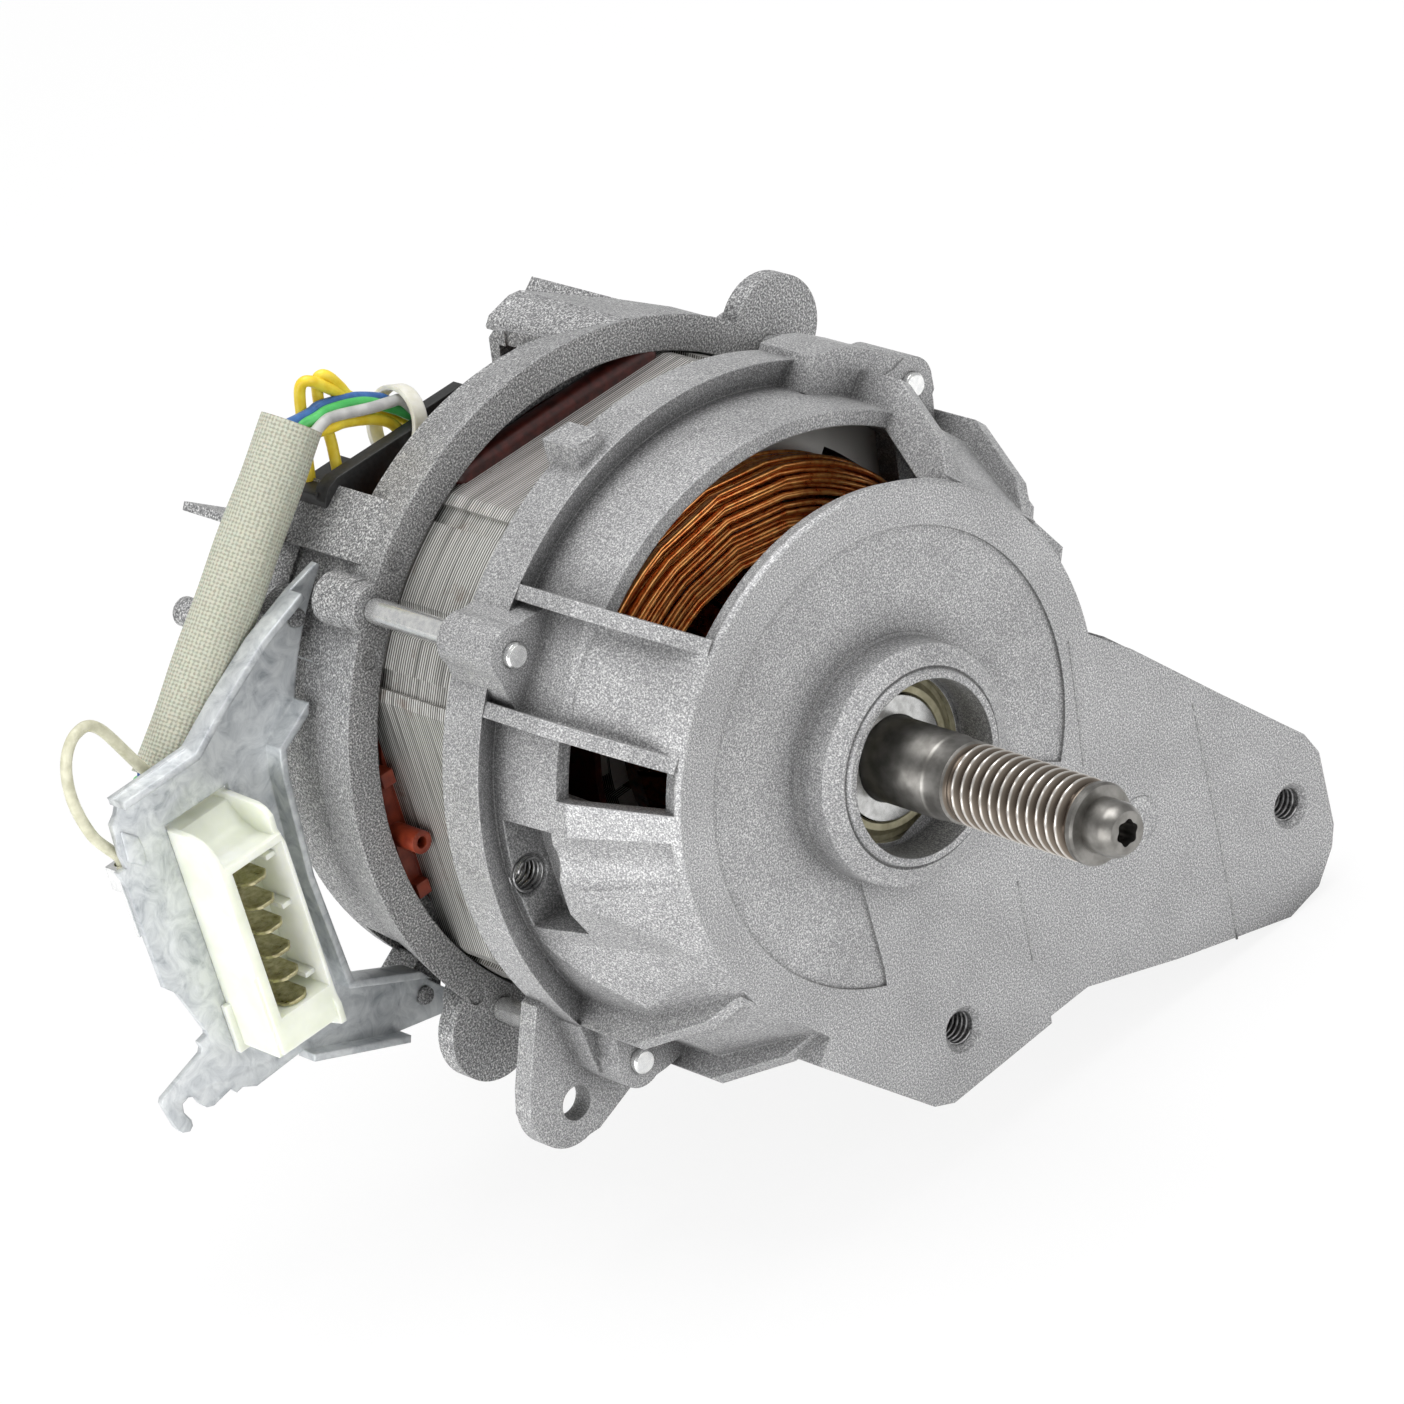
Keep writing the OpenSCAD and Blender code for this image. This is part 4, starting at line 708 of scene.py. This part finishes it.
def addBlades(s):
    half, tip, verts, faces = s["width"] / 2, s["tip"], [], []
    outline = [(s["tail"], -half), (tip - 2.0, -half), (tip - 0.6, -half + 1.1), (tip, -half + 2.0),
               (tip, half - 2.0), (tip - 0.6, half - 1.1), (tip - 2.0, half), (s["tail"], half)]
    for i in range(s["count"]):
        z = s["first"] - s["pitch"] * i
        start = len(verts)
        for side in (-1, 1):
            for inset, h in ((0.0, s["thick"] / 2 - 0.12), (0.22, s["thick"] / 2)):
                for x, y in outline:
                    xx = x - inset if x > s["tail"] else x
                    yy = y * (1 - inset / half)
                    verts.append((xx, s["y"] + yy, z + side * h))
        n = len(outline)
        order = [1, 0, 2, 3]  # rings from the lower flat over both rims to the upper flat
        for a, b in zip(order, order[1:]):
            joinRings(faces, start + a * n, start + b * n, n)
        faces.append(tuple(start + n + k for k in range(n)))
        faces.append(tuple(start + 3 * n + k for k in reversed(range(n))))
        tail = len(verts)
        for x in (-102, -98):
            for dy, dz in ((-1.6, -0.9), (1.6, -0.9), (1.6, 0.9), (-1.6, 0.9)):
                verts.append((x, s["y"] + dy, z + dz))
        faces += [(tail, tail + 3, tail + 2, tail + 1), (tail + 4, tail + 5, tail + 6, tail + 7)]
        faces += [(tail + k, tail + (k + 1) % 4, tail + 4 + (k + 1) % 4, tail + 4 + k) for k in range(4)]
        for side in (-1, 1):
            addDimple(verts, faces, (s["hole"], s["y"], z + side * (s["thick"] / 2 + 0.005)), side)
    makePiece("blade_set", verts, faces, tinnedBrass, "blade_terminals", smooth=False)


def addDimple(verts, faces, centre, side):
    rings, sides = (0.95, 0.8, 0.55, 0.01), 16  # a flat disc just above the blade, in rings
    start = len(verts)
    for r in rings:
        for a in around(sides):
            verts.append((centre[0] + r * math.cos(a), centre[1] + r * math.sin(a), centre[2]))
    for i in range(len(rings) - 1):
        joinRings(faces, start + i * sides, start + (i + 1) * sides, sides, flip=side < 0)


addBlades(bladeSettings)
print("blades made")


# Socket housing: closed body with a sunk roof between two side walls
housingSettings = {"back": -98, "sheet": -93, "front": -79.5, "left": -99.7, "right": -83.8, "wall": 1.3,
                   "ribs": (-19, -3.2, 7.9)}


def addHousing(s):
    back, front, left, right, wall = s["back"], s["front"], s["left"], s["right"], s["wall"]
    core = [(back, -28.8), (front, -28.8), (front, 12.6), (-86, 12.3), (-90, 14), (-93, 17.5), (back, 17.5)]
    leftWall = [(back, -29.4), (front - 1, -29.4), (front - 1, -11.6), (front, -10.6), (front, 13.3),
                (-80.2, 15.6), (-81.6, 17.4), (-83.6, 18.6), (-86.2, 19.2), (-92.6, 19.2), (back, 19.2)]
    rightWall = [(back, -29.4), (-85.3, -29.4), (-85.3, -31.6), (-79.1, -30.2), (-78.8, -26), (front, -24),
                 (front, 10.6), (-80.9, 13.4), (-80.7, 16.4), (-82, 17.9), (-84, 18.6), (-94.2, 18.9),
                 (-95.4, 19.9), (back, 19)]
    lintel = rectangle(front - 1.5, 11.3, front, 12.9)
    cell = rectangle(left + 2.6, -21.6, right - 0.9, 11.4)
    adds = [prismOf(core, left + 0.6, right - 0.4, "y"), prismOf(leftWall, left, left + wall, "y"),
            prismOf(rightWall, right - wall, right, "y"), prismOf(lintel, left + 0.6, right - 0.4, "y"),
            prismOf(rectangle(left - 1.4, -30.6, right + 1.4, -20), s["sheet"] + 0.1, s["sheet"] + 1.5)]
    cuts = [prismOf(cell, s["sheet"] + 1.8, front + 3)]
    shapedPiece("socket_housing", adds, cuts, nylonHousing, 0.35, 3, "connector_housing")
    verts, faces = [], []
    for z in s["ribs"]:
        rib = rectangle(right - 3.2, z - 0.5, right - 0.6, z + 0.5)
        addPrism(verts, faces, rib, s["sheet"] - 3, front - 3.5)
    makePiece("socket_ribs", verts, faces, nylonHousing, smooth=False)


addHousing(housingSettings)
print("housing made")


# Bracket: pressed sheet with its hook, window, tab and rounded folds
bracketSettings = {"face": -93, "thick": 1.5, "clip": 69.6, "rivets": ((-58, 42.5), (-57, -45)),
                   "rivetR": 1.85, "window": (-99.7, -29.5, -83.7, 20.3)}
bracketEdge = [
    (-48.1, 48.4), (-49.8, 50), (-57.2, 48.2), (-69.1, 43.9), (-82, 36.9), (-87.4, 32.7), (-90.3, 31.9),
    (-108.8, 31.6), (-107.9, 29.4), (-108.8, 28), (-110.4, 26.7), (-110.8, 19.9), (-110.5, 17.1),
    (-112.6, 17.2), (-111.6, 13.3), (-111.5, 2.3), (-111.3, -4.4), (-111.2, -9.8), (-108.9, -12.5),
    (-105.7, -23.1), (-105.9, -23.8), (-108, -24.3), (-107.8, -25.7), (-108.4, -26.6), (-119.6, -30.1),
    (-120.1, -31), (-118.9, -37.3), (-118, -38.9), (-116.4, -39.6), (-115.4, -38.9), (-115.3, -37.6),
    (-116.3, -35.3), (-116, -33.5), (-114.3, -33), (-112.8, -33.8), (-112.1, -36), (-111.2, -37.3),
    (-109.6, -37.9), (-104.8, -37), (-103.9, -38.5), (-102.3, -38.2), (-99.2, -39.9), (-86.8, -39.3),
    (-64.9, -48.6), (-52.5, -51.4), (-47.8, -49), (-48.3, -42.2), (-73.8, -29.9), (-74.8, -4.9),
    (-73, 16.9), (-71.8, 21.9), (-62.8, 26.7), (-57.5, 30.4), (-58.6, 34.4), (-50.5, 41)]
innerFold = [(-51, 41), (-58.6, 34.4), (-57.5, 30.4), (-62.8, 26.7), (-71.8, 21.9), (-73, 16.9),
             (-74.8, -4.9), (-73.8, -29.9), (-50, -41.4)]
outerFold = [(-108.6, 31.5), (-90.3, 31.7), (-82, 36.9), (-69.1, 43.9), (-57.2, 48.2)]
lowerFold = [(-86.8, -39.3), (-64.9, -48.6)]
tabEdge = [(-109.3, 24.8), (-106.2, 21.9), (-105.8, 18.9), (-106.1, 16.4), (-107.1, 15.7), (-110, 18.4)]


def foldBand(path, thick):
    # outline of the folded flange: the path and the same path one sheet thickness to its right
    pts = [Vector(p) for p in path]
    inner = []
    for i, p in enumerate(pts):
        sides = []
        for a, b in ((i - 1, i), (i, i + 1)):
            if 0 <= a and b < len(pts):
                d = (pts[b] - pts[a]).normalized()
                sides.append(Vector((-d.y, d.x)))
        both = sides[0] + sides[-1]
        inner.append(p - both * (thick / (1 + sides[0].dot(sides[-1]))))
    return [tuple(p) for p in pts] + [tuple(p) for p in reversed(inner)]


def addBracket(s):
    face, back = s["face"], s["face"] - s["thick"]
    adds = [prismOf(bracketEdge, back, face)]
    for path, height in ((innerFold, 4.5), (outerFold, 3.5), (lowerFold, 3.5)):
        adds.append(prismOf(foldBand(path, s["thick"]), back + 0.02, face + height))
    cuts = [prismOf(rectangle(*s["window"]), back - 2, face + 2),
            rodOf((back - 4, 0, 0), (face + 8, 0, 0), s["clip"], 96)]
    cuts += [rodOf((back - 2, y, z), (face + 2, y, z), s["rivetR"], 24) for y, z in s["rivets"]]
    shapedPiece("pressed_bracket", adds, cuts, galvanised, 0.55, 3, "connector_bracket")
    shapedPiece("bracket_tab", [prismOf(tabEdge, face - 0.3, face + 0.5)], [], galvanised, 0.2, 2)


addBracket(bracketSettings)
print("bracket made")


# Brush carrier: moulded plate with the low rail that the leads lie on
carrierSettings = {"back": -101, "front": -98.5, "radius": 58, "bore": 25, "holderIn": 19, "holderOut": 46,
                   "holderH": 8.4,
                   "rail": [(-41, 55), (-41, 57.4), (-39.4, 59.6), (-36.6, 60.6), (-13, 60.5), (0.6, 58.6),
                            (0.6, 52), (-36, 52)]}


def addCarrier(s):
    back = s["back"]
    adds = [rodOf((back, 0, 0), (s["front"], 0, 0), s["radius"], 96),
            prismOf(s["rail"], back, -97.4),
            prismOf(rectangle(-32.5, 44, -6, 59), back, s["front"]),
            prismOf(rectangle(-13.6, 56, -2.4, 62.4), back, -97.9),
            prismOf(rectangle(-41, 55.6, -28, 58.6), -108, back + 1)]
    for side in (-1, 1):
        adds.append(prismOf(rectangle(side * 35 - 8, -9, side * 35 + 8, 9), back, back + 3))
    for y, z in ((-35, 36), (-42, -30), (42, -30)):
        adds.append(rodOf((-103, y, z), (back + 1, y, z), 3))
    behind, ahead = back - 9, back + 11
    cuts = [rodOf((behind, 0, 0), (ahead, 0, 0), s["bore"], 64),
            prismOf(rectangle(-34, -60, 34, -18), behind, ahead),
            prismOf(rectangle(20, 18, 80, 78), behind, ahead)]
    for side in (-1, 1):
        near, far = side * (s["holderIn"] - 2), side * (s["holderOut"] + 2)
        slot = rectangle(min(near, far), -s["holderH"] / 2, max(near, far), s["holderH"] / 2)
        cuts.append(prismOf(slot, behind, back + 9.5))
    shapedPiece("carrier_moulding", adds, cuts, blackPlastic, 0.5, 3, "brush_carrier")


addCarrier(carrierSettings)
print("carrier made")


# Cable tie round the leads and the rail, with its head and cut tail
tieSettings = {"centre": (-103, -16.4, 60.2), "radius": 7.6, "thick": 1.0, "width": 3.2, "lean": -24,
               "steps": 72, "tail": [(-96.6, -23.6, 55.4), (-96.8, -19, 54.4), (-97, -14, 53.2)]}


def addTie(s):
    turn = Matrix.Rotation(math.radians(s["lean"]), 4, "X")
    centre = Vector(s["centre"])
    verts, faces = [], []
    half, steps, inner = s["width"] / 2, s["steps"], s["radius"] - s["thick"]
    rim = [(s["radius"], -half), (s["radius"], half), (inner, half), (inner, -half)]
    for a in around(steps):
        for r, y in rim:
            verts.append(centre + turn @ Vector((r * math.cos(a), y, r * math.sin(a))))
    for k in range(steps):
        joinRings(faces, k * 4, (k + 1) % steps * 4, 4)
    head = len(verts)
    addPrism(verts, faces, rectangle(-2.6, -s["radius"] - 3.4, 2.0, -s["radius"] + 0.6), -2.7, 2.7, "y")
    for i in range(head, len(verts)):
        verts[i] = centre + turn @ Vector(verts[i])
    makePiece("leads_tie", verts, faces, nylonTie, "cable_tie", smooth=False)
    verts, faces = [], []
    addTube(verts, faces, smoothPath(s["tail"], 6), 0.95, 12, flat=0.6)
    makePiece("tie_tail", verts, faces, nylonTie)


addTie(tieSettings)
print("tie made")


# Rounded edge of the slot liner on the stack's flat, and the wire ends behind it
ridgeSettings = {"low": -79.6, "high": -73.9, "base": 55.6, "top": 60.75, "left": -25.4, "right": 27.4,
                 "round": 2.3}


def addRidge(s):
    section = rectangle(s["low"], s["base"], s["high"], s["top"])
    ridge = prismOf(section, s["left"], s["right"], "y")
    shapedPiece("liner_ridge", [ridge], [], insulationSheet, s["round"], 6)
    verts, faces = [], []
    for x, z, bow in ((-80.3, 60.3, 1.4), (-81.2, 60.6, 0.9), (-82.1, 60.2, 1.6)):
        path = [(x - bow * (t / 25) ** 2, t, z - 0.6 * (t / 25) ** 2) for t in range(-24, 26, 4)]
        addTube(verts, faces, smoothPath(path, 3), 0.46, 8)
    makePiece("winding_ends", verts, faces, copperWire)


addRidge(ridgeSettings)
print("liner ridge made")


# Threads in the holes of the casting, and the faint mould seams and round mark on its plate
threadSettings = {"pitch": 1.25, "radius": 3.3, "wire": 0.32, "steps": 20,
                  "holes": [(90.2, -64.8, -14, -1.6), (-1.7, -60.8, -14, -1.6), (-60.3, 0, -46, -38)]}
seamSettings = {"width": 0.5, "height": 0.12,
                "lines": [[(72.7, -30.6), (70.9, -56.3), (68.4, -83.1)],
                          [(47.3, -1.6), (44.9, -16.2), (42.9, -27.2)],
                          [(20.2, -40.1), (18.5, -57.5)]]}
markSettings = {"centre": (52.6, -45.5), "radius": 4.9, "height": 0.15, "bevel": 0.12}


def addThreads(s):
    verts, faces = [], []
    for y, z, low, high in s["holes"]:
        count = int((high - low) / s["pitch"] * s["steps"])
        path = []
        for i in range(count + 1):
            a = 2 * math.pi * i / s["steps"]
            path.append(Vector((low + (high - low) * i / count, y + s["radius"] * math.cos(a),
                                z + s["radius"] * math.sin(a))))
        addTube(verts, faces, path, s["wire"], 6)
    makePiece("hole_threads", verts, faces, springSteel)


def addSeams(s):
    verts, faces = [], []
    for line in s["lines"]:
        path = smoothPath([(0, y, z) for y, z in line], 6)
        addTube(verts, faces, path, s["width"] / 2, 8, flat=s["height"] * 2 / s["width"])
    makePiece("plate_seams", verts, faces, frontCast)


def addMark(s):
    y, z = s["centre"]
    disc = rodOf((-2, y, z), (s["height"], y, z), s["radius"], 64)
    shapedPiece("plate_mark", [disc], [], frontCast, s["bevel"], 2)


addThreads(threadSettings)
addSeams(seamSettings)
addMark(markSettings)
print("threads, seams and mark made")


# CAD nodes that keep their shape get their finish
finishes = [
    (frontCast, "front_end_shield"), (rearCast, "rear_end_shield"),
    (laminated, "stator_core", "armature_core"), (formerPlastic, "coil_former"),
    (insulationSheet, "slot_insulation"), (zincSteel, "through_bolts", "earth_crimp"),
    (copperDark, "armature_winding", "tacho_coil"), (commCopper, "commutator"), (fanPlastic, "fan"),
    (bearingSteel, "front_bearing_outer_ring", "front_bearing_inner_ring", "front_bearing_balls",
     "rear_bearing_outer_ring", "rear_bearing_inner_ring", "rear_bearing_balls"),
    (bearingSeal, "front_bearing_shields"), (brushBrass, "brush_holder_left", "brush_holder_right"),
    (springSteel, "wave_washer", "brush_spring_left", "brush_spring_right"),
    (carbonBlock, "carbon_brush_left", "carbon_brush_right"), (magnetBlock, "tacho_magnet"),
    (blackPlastic, "tacho_cover")]
for mat, *names in finishes:
    for name in names:
        data = cadNodes[name].data
        data.materials.clear()
        data.materials.append(mat)
print("finishes set")


# Floor, world and lamps
stageSettings = {"floorDrop": 0.3, "floorSize": 4.0, "floor": "#f4f4f4", "floorLight": "#f8f8f8",
                 "glowShare": 0.86, "ambient": 0.52}
lampSettings = {  # place, aim, size and watts
    "leftSoftbox": ((0.05, -1.15, 0.16), (-0.04, 0, 0), (0.9, 0.9), 8),
    "topSoftbox": ((-0.1, 0.1, 1.2), (-0.04, 0, 0), (0.9, 0.9), 11.5),
    "frontFill": ((1.2, 0.3, 0.3), (-0.02, 0, 0), (0.8, 0.8), 4.6),
    "lowFill": ((0.1, -0.5, -0.01), (-0.03, 0, -0.04), (0.6, 0.12), 0.45)}


def addStage(s):
    # pale floor: it takes the shadow, and a glow seen by the camera alone keeps it near white
    low, size = cadBounds[0][2] - s["floorDrop"] * mm, s["floorSize"]
    mesh = bpy.data.meshes.new("studioFloor")
    mesh.from_pydata([(-size, -size, low), (size, -size, low), (size, size, low), (-size, size, low)], [],
                     [(0, 1, 2, 3)])
    mat, place = newMaterial("paleStudioFloor")
    noise = addNode(mat, "TexNoise", {"Scale": 3.0}, {"Vector": (place, "Object")})
    ramp = addNode(mat, "ValToRGB", links={"Fac": (noise, "Fac")})
    setRamp(ramp, [(0.3, s["floor"]), (0.7, s["floorLight"])])
    matte = addNode(mat, "BsdfDiffuse", links={"Color": (ramp, "Color")})
    glow = addNode(mat, "Emission", {"Color": (1, 1, 1, 1), "Strength": 1.0})
    seen = addNode(mat, "LightPath")
    share = addNode(mat, "Math", {"operation": "MULTIPLY", 1: s["glowShare"]},
                    {0: (seen, "Is Camera Ray")})
    mixed = addNode(mat, "MixShader", links={0: (share, "Value"), 1: (matte, "BSDF"),
                                             2: (glow, "Emission")})
    mesh.materials.append(closeMaterial(mat, mixed, "Shader"))
    floor = bpy.data.objects.new("studioFloor", mesh)
    bpy.context.scene.collection.objects.link(floor)


def addWorld(s):
    # even white light from all round, and pure white where the camera sees past the floor
    world = bpy.data.worlds.new("studioWorld")
    bpy.context.scene.world = world
    world.use_nodes = True
    world.node_tree.nodes.clear()
    seen = addNode(world, "LightPath")
    ambient = addNode(world, "Background", {"Color": (1, 1, 1, 1), "Strength": s["ambient"]})
    white = addNode(world, "Background", {"Color": (1, 1, 1, 1)})
    mixed = addNode(world, "MixShader", links={0: (seen, "Is Camera Ray"), 1: (ambient, "Background"),
                                               2: (white, "Background")})
    addNode(world, "OutputWorld", links={"Surface": (mixed, "Shader")})


def addLamp(name, place, target, size, power):
    lamp = bpy.data.lights.new(name, "AREA")
    lamp.shape = "RECTANGLE"
    lamp.size, lamp.size_y = size
    lamp.energy = power
    holder = bpy.data.objects.new(name, lamp)
    holder.location = place
    holder.rotation_euler = (Vector(target) - Vector(place)).to_track_quat("-Z", "Y").to_euler()
    bpy.context.scene.collection.objects.link(holder)


addStage(stageSettings)
addWorld(stageSettings)
for name, (place, target, size, power) in lampSettings.items():
    addLamp(name, place, target, size, power)
bpy.context.scene.view_settings.view_transform = "Standard"
print("stage lit")
